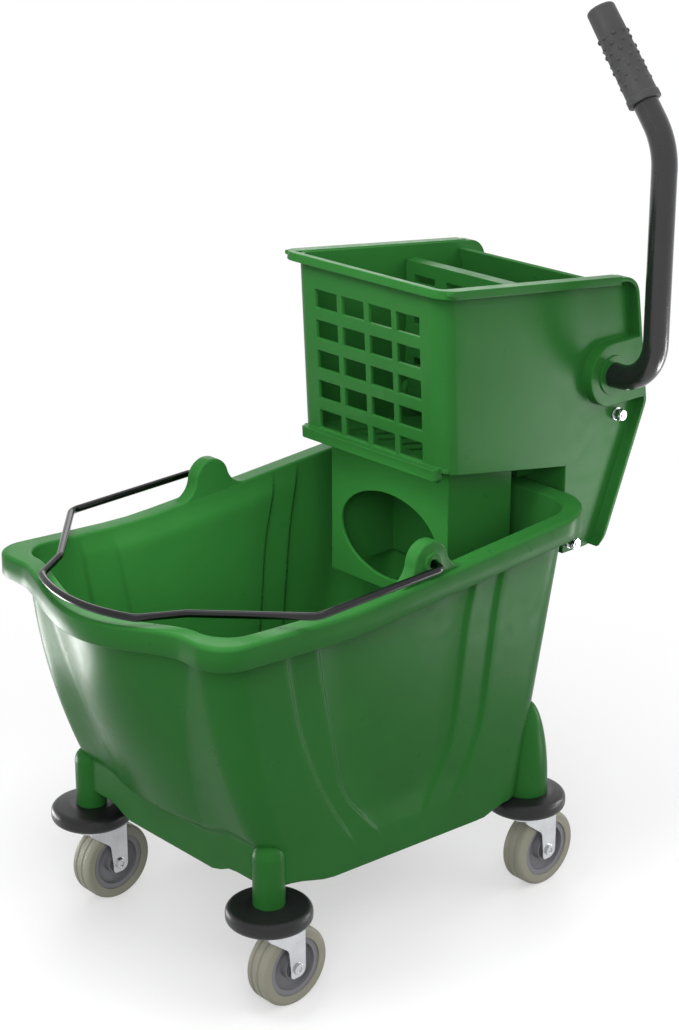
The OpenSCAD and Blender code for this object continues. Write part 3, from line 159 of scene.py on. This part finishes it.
# The finish of each node, by the start of its name
FINISH = {
    "bucket": GREEN, "wringer_body": GREEN, "rear_cover": GREEN, "shaft_bush": GREEN,
    "press_plate": GREEN_PRESS, "bail": WIRE, "tie": ZINC, "lock_nuts": ZINC,
    "handle_tube": TUBE, "hand_grip": GRIP, "shaft_cap": NYLON, "shaft_collar": ZINC,
    "drive_pins": ZINC, "drive_gear": NYLON, "plate_gear": NYLON, "gear_screws": ZINC,
    "hinge_pin": ZINC, "bumper": RUBBER, "caster_stem": ZINC, "fork": ZINC, "axle": ZINC,
    "wheel_bush": BUSH, "wheel_core": CORE, "tyre": TYRE,
}
for name, obj in nodes.items():
    found = next(m for start, m in FINISH.items() if name.startswith(start))
    obj.data.materials.clear()
    obj.data.materials.append(found)


# New pieces
def dress(obj, body, mat, angle, stands_for=()):
    """A new object gets its finish, rides on a body and stands for CAD nodes."""
    scene.collection.objects.link(obj)
    obj.data.materials.clear()
    obj.data.materials.append(mat)
    obj.data.shade_smooth()
    obj.data.set_sharp_from_angle(angle=math.radians(angle))
    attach(obj, body)
    if stands_for:
        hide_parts(*stands_for)
    return obj


def piece(name, verts, faces, body, mat, slot, angle=40, stands_for=()):
    """A mesh written in millimetres becomes a piece."""
    mesh = bpy.data.meshes.new(name)
    mesh.from_pydata([tuple(np.asarray(v, float) * MM) for v in verts], [], faces)
    bm = bmesh.new()
    bm.from_mesh(mesh)
    bmesh.ops.remove_doubles(bm, verts=bm.verts, dist=TINY)
    bmesh.ops.recalc_face_normals(bm, faces=bm.faces)
    bm.to_mesh(mesh)
    bm.free()
    dress(bpy.data.objects.new(name, mesh), body, mat, angle, stands_for)


def ring_faces(first, second, count):
    """Quads between two closed rings of equal length, given by their first vertices."""
    pairs = [(i, (i + 1) % count) for i in range(count)]
    return [[first + i, first + j, second + j, second + i] for i, j in pairs]


def skin(rings, first=0):
    """Vertices and quads of a skin through closed rings of equal length, numbered from first."""
    count = len(rings[0])
    starts = [first + k * count for k in range(len(rings))]
    faces = [f for low, high in zip(starts, starts[1:]) for f in ring_faces(low, high, count)]
    return [v for ring in rings for v in ring], faces


# Rounding of a solid's edges: distances in millimetres, angles in degrees
WELD, SLIVER, FLUSH_NEAR = 0.25, 0.05, 0.01
ROUND_FROM, SHARP_FROM, ROUND_STEPS, FACE_WEIGHT = 30, 60, 3, 80


def softened(node, name, body, mat, width, flush):
    """A node's own form with every sharp edge rounded by width.

    Side faces that lie a hair apart are brought onto one level, as flush says, in millimetres.
    """
    mesh = nodes[node].data.copy()
    mesh.name = name
    bm = bmesh.new()
    bm.from_mesh(mesh)
    for vert in bm.verts:
        for side, level in flush.items():
            if abs(abs(vert.co.y) - side * MM) < FLUSH_NEAR * MM:
                vert.co.y = math.copysign(level * MM, vert.co.y)
    bmesh.ops.remove_doubles(bm, verts=bm.verts, dist=WELD * MM)
    bmesh.ops.dissolve_degenerate(bm, edges=bm.edges, dist=SLIVER * MM)
    bmesh.ops.recalc_face_normals(bm, faces=bm.faces)
    bm.to_mesh(mesh)
    bm.free()
    obj = dress(bpy.data.objects.new(name, mesh), body, mat, SHARP_FROM, [node])
    bevel = obj.modifiers.new("rounding", "BEVEL")
    bevel.width = width * MM
    bevel.segments = ROUND_STEPS
    bevel.limit_method = "ANGLE"
    bevel.angle_limit = math.radians(ROUND_FROM)
    bevel.use_clamp_overlap = False
    bevel.loop_slide = False
    bevel.miter_outer = "MITER_SHARP"
    weighted = obj.modifiers.new("flat_faces", "WEIGHTED_NORMAL")
    weighted.keep_sharp = True
    weighted.weight = FACE_WEIGHT


# Bucket: the same law as the CAD solid, in millimetres, drawn finer and with rounded edges
WALL_FRONT, WALL_REAR, BODY_W = 226, 210, 294
BASE_FRONT, BASE_REAR, BASE_W, STEP_FRONT = 170, 158, 282, 178
BOW_TOP, BOW_LOW, BOW_HALF_TOP, BOW_HALF_LOW, BELLY = 25, 10, 112, 60, 10
BOW_POWER, BOW_SOFT, BOW_MARGIN = 1.2, 0.5, 1
WALL_T, RIM_Z, RIM_FLANGE, RIM_DROP, RIM_SKIRT_T = 4, 368, 16, 22, 3
RIM_ROUND, RIM_EDGE, RIM_FLAT = 4, 1.2, 1
RIM_LOW_X, RIM_SOFT, RIM_FRONT_SLOPE, RIM_REAR_SLOPE = -90, 20, 0.055, 0.0733
LIP_DIP, LIP_HALF, LIP_FROM, LIP_RUN = 9, 110, 170, 60
BASE_Z, BASE_SLOPE, ARCH_HALF, ARCH_HALF_RUN = 106, 0.045, 60, 30
ARCH_RISE, ARCH_FROM, ARCH_RUN = 10, 95, 55
REAR_ARCH_RISE, REAR_ARCH_FROM, REAR_ARCH_RUN = 8, 92, 30
FRONT_CORNER_LOW, FRONT_CORNER_TOP, RIM_CORNER, REAR_CORNER = 24, 33, 30, 36
APRON, STEP = 0.14, 0.18
FLOOR_Z, FLOOR_T, FLOOR_FILLET, FLOOR_INSET = 130.15, 4.5, 8, 4
PANEL_STEP, PANEL_REACH, PANEL_EDGE = 3, 150, 6
PANEL_START, PANEL_RISE, PANEL_FADE = 0.08, 0.15, 0.07
FRONT_LINE = [[0, -0.38], [0.17, -0.57], [0.38, -0.79], [0.6, -0.94], [0.83, -1.02], [1, -1.05]]
FRONT_INNER = [[0, -0.15], [0.13, -0.32], [0.3, -0.58], [0.58, -0.68], [0.78, -0.75], [1, -0.81]]
REAR_INNER = [[0, 0], [0.13, 0.12], [0.3, 0.33], [0.42, 0.38], [0.78, 0.45], [1, 0.56]]
REAR_LINE = [[0, 0.2], [0.13, 0.36], [0.3, 0.55], [0.4, 0.6], [0.78, 0.68], [1, 0.77]]
# The wall's lower edge, rounded: distance in, and lift
BASE_ROUND = [(WALL_T, 1), (WALL_T - 0.4, 0.2), (1.2, 0), (0.35, 0.35), (0, 1.2)]
# Shares of the height at which the wall has rings, closest along the apron's step: first, last, how many
BELOW_STEP, ALONG_STEP, ABOVE_STEP = (0.01, 0.12, 4), (0.125, 0.2, 16), (0.225, 1, 34)
# Reach of the easing as a share of the height, and points along each stretch of the outline and the rim
EASE, PANEL_EASE, EASE_STEPS = 0.010, 0.06, 4
BOW_STEPS, BOW_CROWDING, FLAT_STEPS, CORNER_STEPS, PANEL_STEPS, REAR_STEPS = 22, 1.25, 6, 15, 7, 10
CROWN_STEPS, BEAD_STEPS, FILLET_STEPS = 8, 6, 7


def rim_top(x, y):
    lip = np.maximum(0, 1 - (y / LIP_HALF) ** 2) ** 2
    front = RIM_FRONT_SLOPE * ramp(RIM_LOW_X - x, RIM_SOFT)
    rear = RIM_REAR_SLOPE * ramp(x - RIM_LOW_X, RIM_SOFT)
    return RIM_Z + front + rear - LIP_DIP * smooth((-x - LIP_FROM) / LIP_RUN) * lip


def base_edge(x, y):
    side = smooth((np.abs(y) - ARCH_HALF) / ARCH_HALF_RUN)
    front = side * ARCH_RISE * smooth((-x - ARCH_FROM) / ARCH_RUN)
    rear = side * REAR_ARCH_RISE * smooth((x - REAR_ARCH_FROM) / REAR_ARCH_RUN)
    return BASE_Z - BASE_SLOPE * x + front + rear


def wall_z(x, y, t):
    return lerp(base_edge(x, y), rim_top(x, y) - WALL_T, t)


def above(t):
    return np.clip((t - STEP) / (1 - STEP), 0, 1)


def eased(law, t, reach=EASE):
    """A law of the height, averaged a little so that its corners are rounded."""
    reach = min(reach, t, 1 - t)
    steps = range(-EASE_STEPS, EASE_STEPS + 1)
    return sum(law(t + reach * k / EASE_STEPS) for k in steps) / len(steps)


def on_step(t):
    return np.clip((t - APRON) / (STEP - APRON), 0, 1)


def front_law(t):
    s = above(t)
    upper = lerp(STEP_FRONT, WALL_FRONT, s) + BELLY * 4 * s * (1 - s)
    return lerp(BASE_FRONT, upper, on_step(t))


def bow_law(t):
    return lerp(BOW_LOW, BOW_TOP, above(t)) * on_step(t)


def panel_line(table, t):
    return eased(lambda s: PANEL_REACH * lookup(s, table), t, PANEL_EASE)


def panel_depth(t):
    return PANEL_STEP * smooth((1 - t) / PANEL_FADE) * smooth((t - PANEL_START) / PANEL_RISE)


def half_plan(t, d):
    """Half of the plan outline at a share of the height, moved inwards by d."""
    hw = lerp(BASE_W, BODY_W, t) / 2 - d
    xf = -eased(front_law, t) + d
    xr = lerp(BASE_REAR, WALL_REAR, t) - d
    rf = lerp(FRONT_CORNER_LOW, FRONT_CORNER_TOP, t) - d
    if d < 0:
        rf = lerp(FRONT_CORNER_TOP, RIM_CORNER, -d / RIM_FLANGE)
    rr = REAR_CORNER - d
    bow = eased(bow_law, t)
    bow_half = min(lerp(BOW_HALF_LOW, BOW_HALF_TOP, above(t) ** BOW_POWER), hw - rf - BOW_MARGIN)
    pts = []
    for s in 1 - (1 - np.linspace(0, 1, BOW_STEPS)) ** BOW_CROWDING:
        pts.append((xf - bow * (1 - s * s) ** (1 + BOW_SOFT * t), s * bow_half))
    pts += [(xf, y) for y in np.linspace(bow_half, hw - rf, FLAT_STEPS)[1:-1]]
    pts += arc(xf + rf, hw - rf, rf, 180, 90, CORNER_STEPS)
    a, b, c, e = (panel_line(k, t) for k in (FRONT_LINE, FRONT_INNER, REAR_INNER, REAR_LINE))
    # Along the side: x and how many panel steps deep
    stops = [(xf + rf, 0), (a, 0), (a + PANEL_EDGE, 1), (b, 1), (b + PANEL_EDGE, 2),
             (c - PANEL_EDGE, 2), (c, 1), (e - PANEL_EDGE, 1), (e, 0), (xr - rr, 0)]
    depth = panel_depth(t)
    for (x0, k0), (x1, k1) in zip(stops, stops[1:]):
        for i in range(1, PANEL_STEPS + 1):
            share = i / PANEL_STEPS
            pts.append((lerp(x0, x1, share), hw - depth * lerp(k0, k1, smooth(share))))
    # The rear corner's arc starts where the side ends
    pts.pop()
    pts += arc(xr - rr, hw - rr, rr, 90, 0, CORNER_STEPS)
    pts += [(xr, y) for y in np.linspace(hw - rr, 0, REAR_STEPS)[1:]]
    return np.array(pts)


def plan(t, d):
    h = half_plan(t, d)
    return np.vstack([h, (h * [1, -1])[-2:0:-1]])


def wall_ring(t, d, lift=0):
    p = plan(t, d)
    return np.column_stack([p, wall_z(p[:, 0], p[:, 1], t) + lift])


def rim_ring(d, drop):
    p = plan(1, d)
    return np.column_stack([p, rim_top(p[:, 0], p[:, 1]) - drop])


def flat_ring(t, d, z):
    p = plan(t, d)
    return np.column_stack([p, np.full(len(p), z)])


def rim_section():
    """The hollow rim from the wall's outer face to its inner face: distance in, and drop."""
    outer, inner = -RIM_FLANGE, RIM_SKIRT_T - RIM_FLANGE
    soft, third, bead = RIM_EDGE, RIM_EDGE / 3, WALL_T / 2
    under = [(-WALL_T, WALL_T), (inner + soft, WALL_T), (inner + third, WALL_T + third),
             (inner, WALL_T + soft), (inner, RIM_DROP - soft)]
    edge = [(inner - third, RIM_DROP - third), (inner - soft, RIM_DROP), (outer + soft, RIM_DROP),
            (outer + third, RIM_DROP - third), (outer, RIM_DROP - soft), (outer, RIM_DROP / 2)]
    crown = arc(outer + RIM_ROUND, RIM_ROUND, RIM_ROUND, 180, 270, CROWN_STEPS)
    crown += [(outer + RIM_ROUND + RIM_FLAT, 0), (-WALL_T, 0), (WALL_T - bead - RIM_FLAT, 0)]
    return under + edge + crown + arc(WALL_T - bead, bead, bead, 270, 360, BEAD_STEPS)


def bucket_shell():
    """Closed skin: under the floor, up the outside, over the rim, down the inside, over the floor."""
    levels = np.concatenate([np.linspace(*run) for run in (BELOW_STEP, ALONG_STEP, ABOVE_STEP)])
    rings = [flat_ring(0, WALL_T, FLOOR_Z - FLOOR_T)]
    rings += [wall_ring(0, d, lift) for d, lift in BASE_ROUND]
    rings += [wall_ring(t, 0) for t in levels]
    rings += [rim_ring(d, drop) for d, drop in rim_section()]
    rings += [wall_ring(t, WALL_T) for t in levels[::-1][1:] if t > APRON]
    share = (FLOOR_Z - BASE_Z) / (RIM_Z - BASE_Z)
    fillet = arc(WALL_T + FLOOR_FILLET, FLOOR_FILLET, FLOOR_FILLET, 180, 270, FILLET_STEPS)
    rings += [flat_ring(share, d, FLOOR_Z + z) for d, z in fillet]
    rings.append(flat_ring(share, WALL_T + FLOOR_FILLET + FLOOR_INSET, FLOOR_Z))
    verts, faces = skin(rings)
    count = len(rings[0])
    faces += [list(range(count))[::-1], list(range(len(verts) - count, len(verts)))]
    piece("bucket_shell", verts, faces, "bucket_body", GREEN, "green_plastic", stands_for=["bucket"])


bucket_shell()

# Leg posts with their domed tops
LEG_X, LEG_Y, LEG_FOOT_Z, LEG_STEPS, DOME_STEPS = 163, 130, 94.5, 64, 24
FRONT_LEG_R, FRONT_LEG_Z, FRONT_DOME_H = 14.5, 150, 14.4
REAR_LEG_R, REAR_LEG_Z, REAR_DOME_H = 21, 112, 87.3
# The foot's edge, rounded: distance in, and lift
LEG_EDGE = [(0.8, 0), (0.2, 0.2), (0, 0.8)]


def leg_post(name, x, y, r, z, dome_h):
    foot = [(0, LEG_FOOT_Z)] + [(r - d, LEG_FOOT_Z + lift) for d, lift in LEG_EDGE]
    turns = np.radians(np.linspace(0, 90, DOME_STEPS))
    dome = [(r * math.cos(a), z + dome_h * math.sin(a)) for a in turns]
    rings = []
    for radius, height in foot + dome:
        around = arc(x, y, radius, 0, 360 - 360 / LEG_STEPS, LEG_STEPS)
        rings.append([(px, py, height) for px, py in around])
    piece(name, *skin(rings), "bucket_body", GREEN, "green_plastic")


for side, word in ((-1, "left"), (1, "right")):
    leg_post("leg_front_" + word, -LEG_X, side * LEG_Y, FRONT_LEG_R, FRONT_LEG_Z, FRONT_DOME_H)
    leg_post("leg_rear_" + word, LEG_X, side * LEG_Y, REAR_LEG_R, REAR_LEG_Z, REAR_DOME_H)

# Ears that hold the bail: a rounded plate with a boss and a blind hole
EAR_X, EAR_R, EAR_INNER, EAR_OUTER, EAR_ROUND = 4, 20, 143.3, 158, 2
EAR_FLARE_R, EAR_FLARE_FROM, EAR_SUNK, BAIL_RISE = 22, 268, 3, 14
EAR_BOSS_R, EAR_BOSS_H, BOSS_ROUND, HOLE_R, HOLE_ROUND, EAR_HOLE_Y = 10, 2.5, 1, 4.2, 0.6, 146.5
# The boss's foot, rounded: distance out, and rise
BOSS_FOOT = [(1, 0), (0.3, 0.3), (0, 1)]
FLARE_STEPS, EAR_STEPS, EAR_ROUND_STEPS = 14, 20, 6
BOSS_STEPS, BOSS_ROUND_STEPS, HOLE_ROUND_STEPS = 48, 5, 4
EAR_TILT = math.atan(RIM_REAR_SLOPE)
EAR_RIM_Z = float(rim_top(EAR_X, BODY_W / 2))
BAIL_Z = EAR_RIM_Z + BAIL_RISE


def ear_half():
    """Right half of the ear's outline about the bail's axis, from its foot to its top."""
    # The flare touches the ear's circle and the rim's top
    z = EAR_FLARE_R - BAIL_RISE
    x = math.sqrt((EAR_R + EAR_FLARE_R) ** 2 - z ** 2)
    meet = math.degrees(math.atan2(z, x))
    flare = arc(x, z, EAR_FLARE_R, EAR_FLARE_FROM, 180 + meet, FLARE_STEPS)
    foot = -BAIL_RISE - EAR_SUNK
    return [(0, foot), (flare[0][0], foot)] + flare + arc(0, 0, EAR_R, meet, 90, EAR_STEPS)[1:]


def inset_outline(pts, d):
    """A closed counter-clockwise outline moved inwards by d along the mean of its edges' normals."""
    p = np.array(pts)
    edge = np.roll(p, -1, 0) - p
    edge /= np.linalg.norm(edge, axis=1)[:, None]
    inward = np.column_stack([-edge[:, 1], edge[:, 0]])
    mean = inward + np.roll(inward, 1, 0)
    return p + d * mean / np.maximum(TINY, (mean * inward).sum(1))[:, None]


def ear_rings(side):
    """Closed rings of the ear's plate from its inner to its outer face; the foot stays level."""
    half = ear_half()
    outline = half + [(-x, z) for x, z in half[-2:0:-1]]
    foot = outline[0][1]
    turns = np.radians(np.linspace(0, 90, EAR_ROUND_STEPS))
    soft = [(EAR_ROUND * (1 - math.sin(a)), EAR_ROUND * (1 - math.cos(a))) for a in turns]
    loops = [(d, EAR_INNER + y) for d, y in soft] + [(d, EAR_OUTER - y) for d, y in soft[::-1]]
    c, s = math.cos(EAR_TILT), math.sin(EAR_TILT)
    rings = []
    for d, y in loops:
        inset = inset_outline(outline, d)
        moved = [(x, z if before > foot else foot) for (x, z), (_, before) in zip(inset, outline)]
        rings.append([(EAR_X + x * c - z * s, side * y, BAIL_Z + x * s + z * c) for x, z in moved])
    return rings


def boss_rings(side):
    """Closed rings of the boss round the bail's end and of its blind hole."""
    top = EAR_OUTER + EAR_BOSS_H
    turn = [(EAR_BOSS_R + d, EAR_OUTER + rise) for d, rise in BOSS_FOOT]
    turn += arc(EAR_BOSS_R - BOSS_ROUND, top - BOSS_ROUND, BOSS_ROUND, 0, 90, BOSS_ROUND_STEPS)
    turn += arc(HOLE_R + HOLE_ROUND, top - HOLE_ROUND, HOLE_ROUND, 90, 180, HOLE_ROUND_STEPS)
    turn.append((HOLE_R, EAR_HOLE_Y))
    rings = []
    for r, y in turn:
        around = arc(EAR_X, BAIL_Z, r, 270, 630 - 360 / BOSS_STEPS, BOSS_STEPS)
        rings.append([(x, side * y, z) for x, z in around])
    return rings


def ear(name, side):
    plate = ear_rings(side)
    verts, faces = skin(plate)
    count, first, steps = len(plate[0]), len(verts), BOSS_STEPS
    boss_verts, boss_faces = skin(boss_rings(side), first)
    verts += boss_verts
    inner_face = list(range(count))
    hole_end = list(range(len(verts) - steps, len(verts)))
    faces += [inner_face] + boss_faces + [hole_end]
    # The outer face is two halves that meet above and below the boss
    face, top = first - count, count // 2
    right = [face + i for i in range(top + 1)] + [first + i for i in range(steps // 2, -1, -1)]
    left = [face + i % count for i in range(top, count + 1)]
    left += [first + i % steps for i in range(steps, steps // 2 - 1, -1)]
    faces += [right, left]
    piece(name, verts, faces, "bucket_body", GREEN, "green_plastic")


ear("ear_left", -1)
ear("ear_right", 1)

# Bail: one bent wire in a plane through the ears; u runs to the front from their axis, v to the side
# Between shoulder and loop it has a waist, a bend that the photo shows and the CAD solid lacks
BAIL_R, BAIL_HALF, BAIL_ARM, BAIL_FOOT, BAIL_TILT = 3.4, 173, 146, 147, math.radians(1.8)
LOOP_TIP, LOOP_R, LOOP_HALF, WAIST = 270, 157, 67, (219, 90)
ELBOW_R, SHOULDER_R, WAIST_R, LOOP_CORNER_R = 9, 16, 25, 12
# The loop's arc starts past the bend at its corner, at this share of its angle
LOOP_SHARE, LOOP_STEPS, BEND_STEPS, WIRE_STEPS = 0.9, 16, 10, 24


def bend(before, corner, after, r):
    """Points of a round bend of radius r at the corner between two straight runs."""
    corner = Vector(corner)
    a, b = ((Vector(p) - corner).normalized() for p in (before, after))
    half = a.angle(b) / 2
    centre = corner + (a + b).normalized() * r / math.sin(half)
    start, end = (corner + way * r / math.tan(half) - centre for way in (a, b))
    shares = [k / BEND_STEPS for k in range(BEND_STEPS + 1)]
    return [tuple(centre + start.lerp(end, share).normalized() * r) for share in shares]


def bail_route():
    """Half of the wire's middle line, from the hole in the ear to the tip of its front loop."""
    lean = math.asin(LOOP_HALF / LOOP_R)
    corner = (LOOP_TIP - LOOP_R + LOOP_R * math.cos(lean), LOOP_HALF)
    onward = (corner[0] + LOOP_R * math.sin(lean), corner[1] - LOOP_R * math.cos(lean))
    stops = [(0, BAIL_FOOT), (0, BAIL_HALF), (BAIL_ARM, BAIL_HALF), WAIST, corner, onward]
    route = stops[:1]
    for k, r in enumerate((ELBOW_R, SHOULDER_R, WAIST_R, LOOP_CORNER_R)):
        route += bend(*stops[k:k + 3], r)
    loop_from = math.degrees(lean) * LOOP_SHARE
    return route + arc(LOOP_TIP - LOOP_R, 0, LOOP_R, loop_from, 0, LOOP_STEPS)


def bail_wire():
    half = bail_route()
    line = np.array(half + [(u, -v) for u, v in half[-2::-1]])
    way = np.gradient(line, axis=0)
    way /= np.linalg.norm(way, axis=1)[:, None]
    c, s = math.cos(BAIL_TILT), math.sin(BAIL_TILT)
    section = arc(0, 0, BAIL_R, 0, 360 - 360 / WIRE_STEPS, WIRE_STEPS)
    rings = []
    for (u, v), (du, dv) in zip(line, way):
        around = [(u - p * dv, v + p * du, q) for p, q in section]
        rings.append([(EAR_X - a * c + q * s, b, BAIL_Z - a * s - q * c) for a, b, q in around])
    verts, faces = skin(rings)
    faces += [list(range(WIRE_STEPS))[::-1], list(range(len(verts) - WIRE_STEPS, len(verts)))]
    piece("bail_wire", verts, faces, "bail_body", WIRE, "dark_wire", stands_for=["bail"])


bail_wire()

# Wringer: the moulded form with rounded edges, its front's sides brought level with the cheeks
CHEEK_LEVELS, WRINGER_ROUND = {98.8: 99, 95.2: 95}, 0.8
softened("wringer_body", "wringer_moulding", "wringer", GREEN, WRINGER_ROUND, CHEEK_LEVELS)

# Camera: the photograph's own place and lens
AZIMUTH, ELEVATION = math.radians(-42.27), math.radians(20.14)
CAMERA_AT = (-1.30245, -1.47539, 1.11375)
# Focal length in the photo's pixels over the photo's height
SENSOR, FOCAL_SHARE = 36, 2283.5 / 1030
CLIP_NEAR, CLIP_FAR = 0.05, 60
level = math.cos(ELEVATION)
back = Vector((math.sin(AZIMUTH) * level, -math.cos(AZIMUTH) * level, math.sin(ELEVATION)))
cam = bpy.data.objects.new("camera", bpy.data.cameras.new("camera"))
cam.data.sensor_width = SENSOR
cam.data.lens = FOCAL_SHARE * SENSOR
cam.data.clip_start, cam.data.clip_end = CLIP_NEAR, CLIP_FAR
cam.location = CAMERA_AT
cam.rotation_mode = "QUATERNION"
cam.rotation_quaternion = (-back).to_track_quat("-Z", "Y")
scene.collection.objects.link(cam)
scene.camera = cam

# Studio: soft boxes, a pale floor and white surroundings
FILL, SHINE, BOTH = (True, False), (False, True), (True, True)
# Name, place, aim, size in metres, watts, and whether it lights surfaces and shows in their gloss
LAMPS = [
    ("fill_box", (-1.55, -1.72, 1.5), (0, 0, 0.35), (1.6, 1.4), 36, FILL),
    ("right_key", (0.75, -0.85, 1.0), (0.15, 0, 0.4), (1.2, 1.0), 7, FILL),
    ("left_key", (-1.6, 0.3, 0.6), (0, 0, 0.35), (0.8, 0.8), 6, FILL),
    ("rear_box", (1.7, 1.6, 0.9), (0, 0, 0.35), (1.6, 1.2), 20, FILL),
    ("mouth_box", (-0.35, -0.12, 1.05), (0.03, 0.08, 0.2), (0.3, 0.3), 5, FILL),
    ("well_box", (-0.08, -0.03, 0.44), (-0.08, -0.03, 0.10), (0.25, 0.15), 0.5, FILL),
    ("top_box", (0.1, 0.3, 2.3), (0, 0, 0.3), (1.8, 1.4), 9, BOTH),
    ("cheek_strip", (0.56, -0.35, 0.29), (0.27, -0.10, 0.42), (0.12, 0.30), 1.6, SHINE),
    ("side_strip", (0.52, -0.52, 0.05), (0.12, -0.14, 0.25), (0.25, 0.12), 0.9, SHINE),
    ("front_strip", (-0.33, 0.50, 0.06), (-0.21, 0.09, 0.27), (0.25, 0.20), 2.4, SHINE),
    ("back_box", (1.30, 1.45, 1.05), (0, 0, 0.35), (1.0, 0.6), 3, SHINE),
]
FLOOR_HALF, FLOOR_SHADE, FLOOR_SEEN, WORLD_LIGHT = 30, 0.3, 0.9, 0.34
# The floor turns to pure white between these distances from the frame's origin, in metres
# Nearer in it has this share of white, so that the shadow stays
WHITE_FROM, WHITE_TO, WHITE_UNDER = 0.30, 0.85, 0.45


def soft_box(name, at, aim, size, watts, lights):
    data = bpy.data.lights.new(name, "AREA")
    data.shape = "RECTANGLE"
    data.size, data.size_y = size
    data.energy = watts
    lamp = bpy.data.objects.new(name, data)
    lamp.location = at
    lamp.rotation_euler = (Vector(at) - Vector(aim)).to_track_quat("Z", "Y").to_euler()
    lamp.visible_camera = False
    lamp.visible_diffuse, lamp.visible_glossy = lights
    scene.collection.objects.link(lamp)


def white_seen(tree):
    """One for the rays that show white: camera, glossy and transmission rays."""
    rays = tree.nodes.new("ShaderNodeLightPath")
    seen = rays.outputs["Is Camera Ray"]
    for kind in ("Is Glossy Ray", "Is Transmission Ray"):
        either = tree.nodes.new("ShaderNodeMath")
        either.operation = "MAXIMUM"
        tree.links.new(seen, either.inputs[0])
        tree.links.new(rays.outputs[kind], either.inputs[1])
        seen = either.outputs[0]
    return seen


def white_light(tree, kind, strength):
    light = tree.nodes.new(kind)
    light.inputs["Color"].default_value = (1, 1, 1, 1)
    light.inputs["Strength"].default_value = strength
    return light.outputs[0]


def mixed(tree, fac, first, second, target):
    """A blend of two shaders by fac, as the tree's output."""
    blend = tree.nodes.new("ShaderNodeMixShader")
    for source, socket in ((fac, "Fac"), (first, 1), (second, 2)):
        tree.links.new(source, blend.inputs[socket])
    tree.links.new(blend.outputs[0], tree.nodes.new(target).inputs["Surface"])


def white_with_distance(tree):
    """Share of white at each place of the floor: all of it far out, part of it under the object."""
    distance = tree.nodes.new("ShaderNodeVectorMath")
    distance.operation = "LENGTH"
    tree.links.new(tree.nodes.new("ShaderNodeTexCoord").outputs["Object"], distance.inputs[0])
    fade = tree.nodes.new("ShaderNodeMapRange")
    fade.interpolation_type = "SMOOTHSTEP"
    limits = (("From Min", WHITE_FROM), ("From Max", WHITE_TO), ("To Min", WHITE_UNDER), ("To Max", 1))
    for socket, value in limits:
        fade.inputs[socket].default_value = value
    tree.links.new(distance.outputs["Value"], fade.inputs["Value"])
    return fade.outputs["Result"]


def floor_finish():
    mat = bpy.data.materials.new("pale_floor")
    mat.use_nodes = True
    tree = mat.node_tree
    tree.nodes.clear()
    seen = white_seen(tree)
    shade = tree.nodes.new("ShaderNodeMix")
    shade.data_type = "RGBA"
    shade.inputs["A"].default_value = (FLOOR_SHADE, FLOOR_SHADE, FLOOR_SHADE, 1)
    shade.inputs["B"].default_value = (FLOOR_SEEN, FLOOR_SEEN, FLOOR_SEEN, 1)
    tree.links.new(seen, shade.inputs["Factor"])
    diffuse = tree.nodes.new("ShaderNodeBsdfDiffuse")
    tree.links.new(shade.outputs["Result"], diffuse.inputs["Color"])
    white = tree.nodes.new("ShaderNodeMath")
    white.operation = "MULTIPLY"
    tree.links.new(seen, white.inputs[0])
    tree.links.new(white_with_distance(tree), white.inputs[1])
    mixed(tree, white.outputs[0], diffuse.outputs[0], white_light(tree, "ShaderNodeEmission", 1),
          "ShaderNodeOutputMaterial")
    return mat


def pale_floor():
    mesh = bpy.data.meshes.new("floor")
    corners = ((-1, -1), (1, -1), (1, 1), (-1, 1))
    mesh.from_pydata([(x * FLOOR_HALF, y * FLOOR_HALF, 0) for x, y in corners], [], [[0, 1, 2, 3]])
    mesh.materials.append(floor_finish())
    floor = bpy.data.objects.new("floor", mesh)
    scene.collection.objects.link(floor)


def white_world():
    scene.world = bpy.data.worlds.new("studio")
    scene.world.use_nodes = True
    tree = scene.world.node_tree
    tree.nodes.clear()
    dim, white = (white_light(tree, "ShaderNodeBackground", strength) for strength in (WORLD_LIGHT, 1))
    mixed(tree, white_seen(tree), dim, white, "ShaderNodeOutputWorld")


for lamp in LAMPS:
    soft_box(*lamp)
pale_floor()
white_world()
scene.view_settings.view_transform = "Standard"
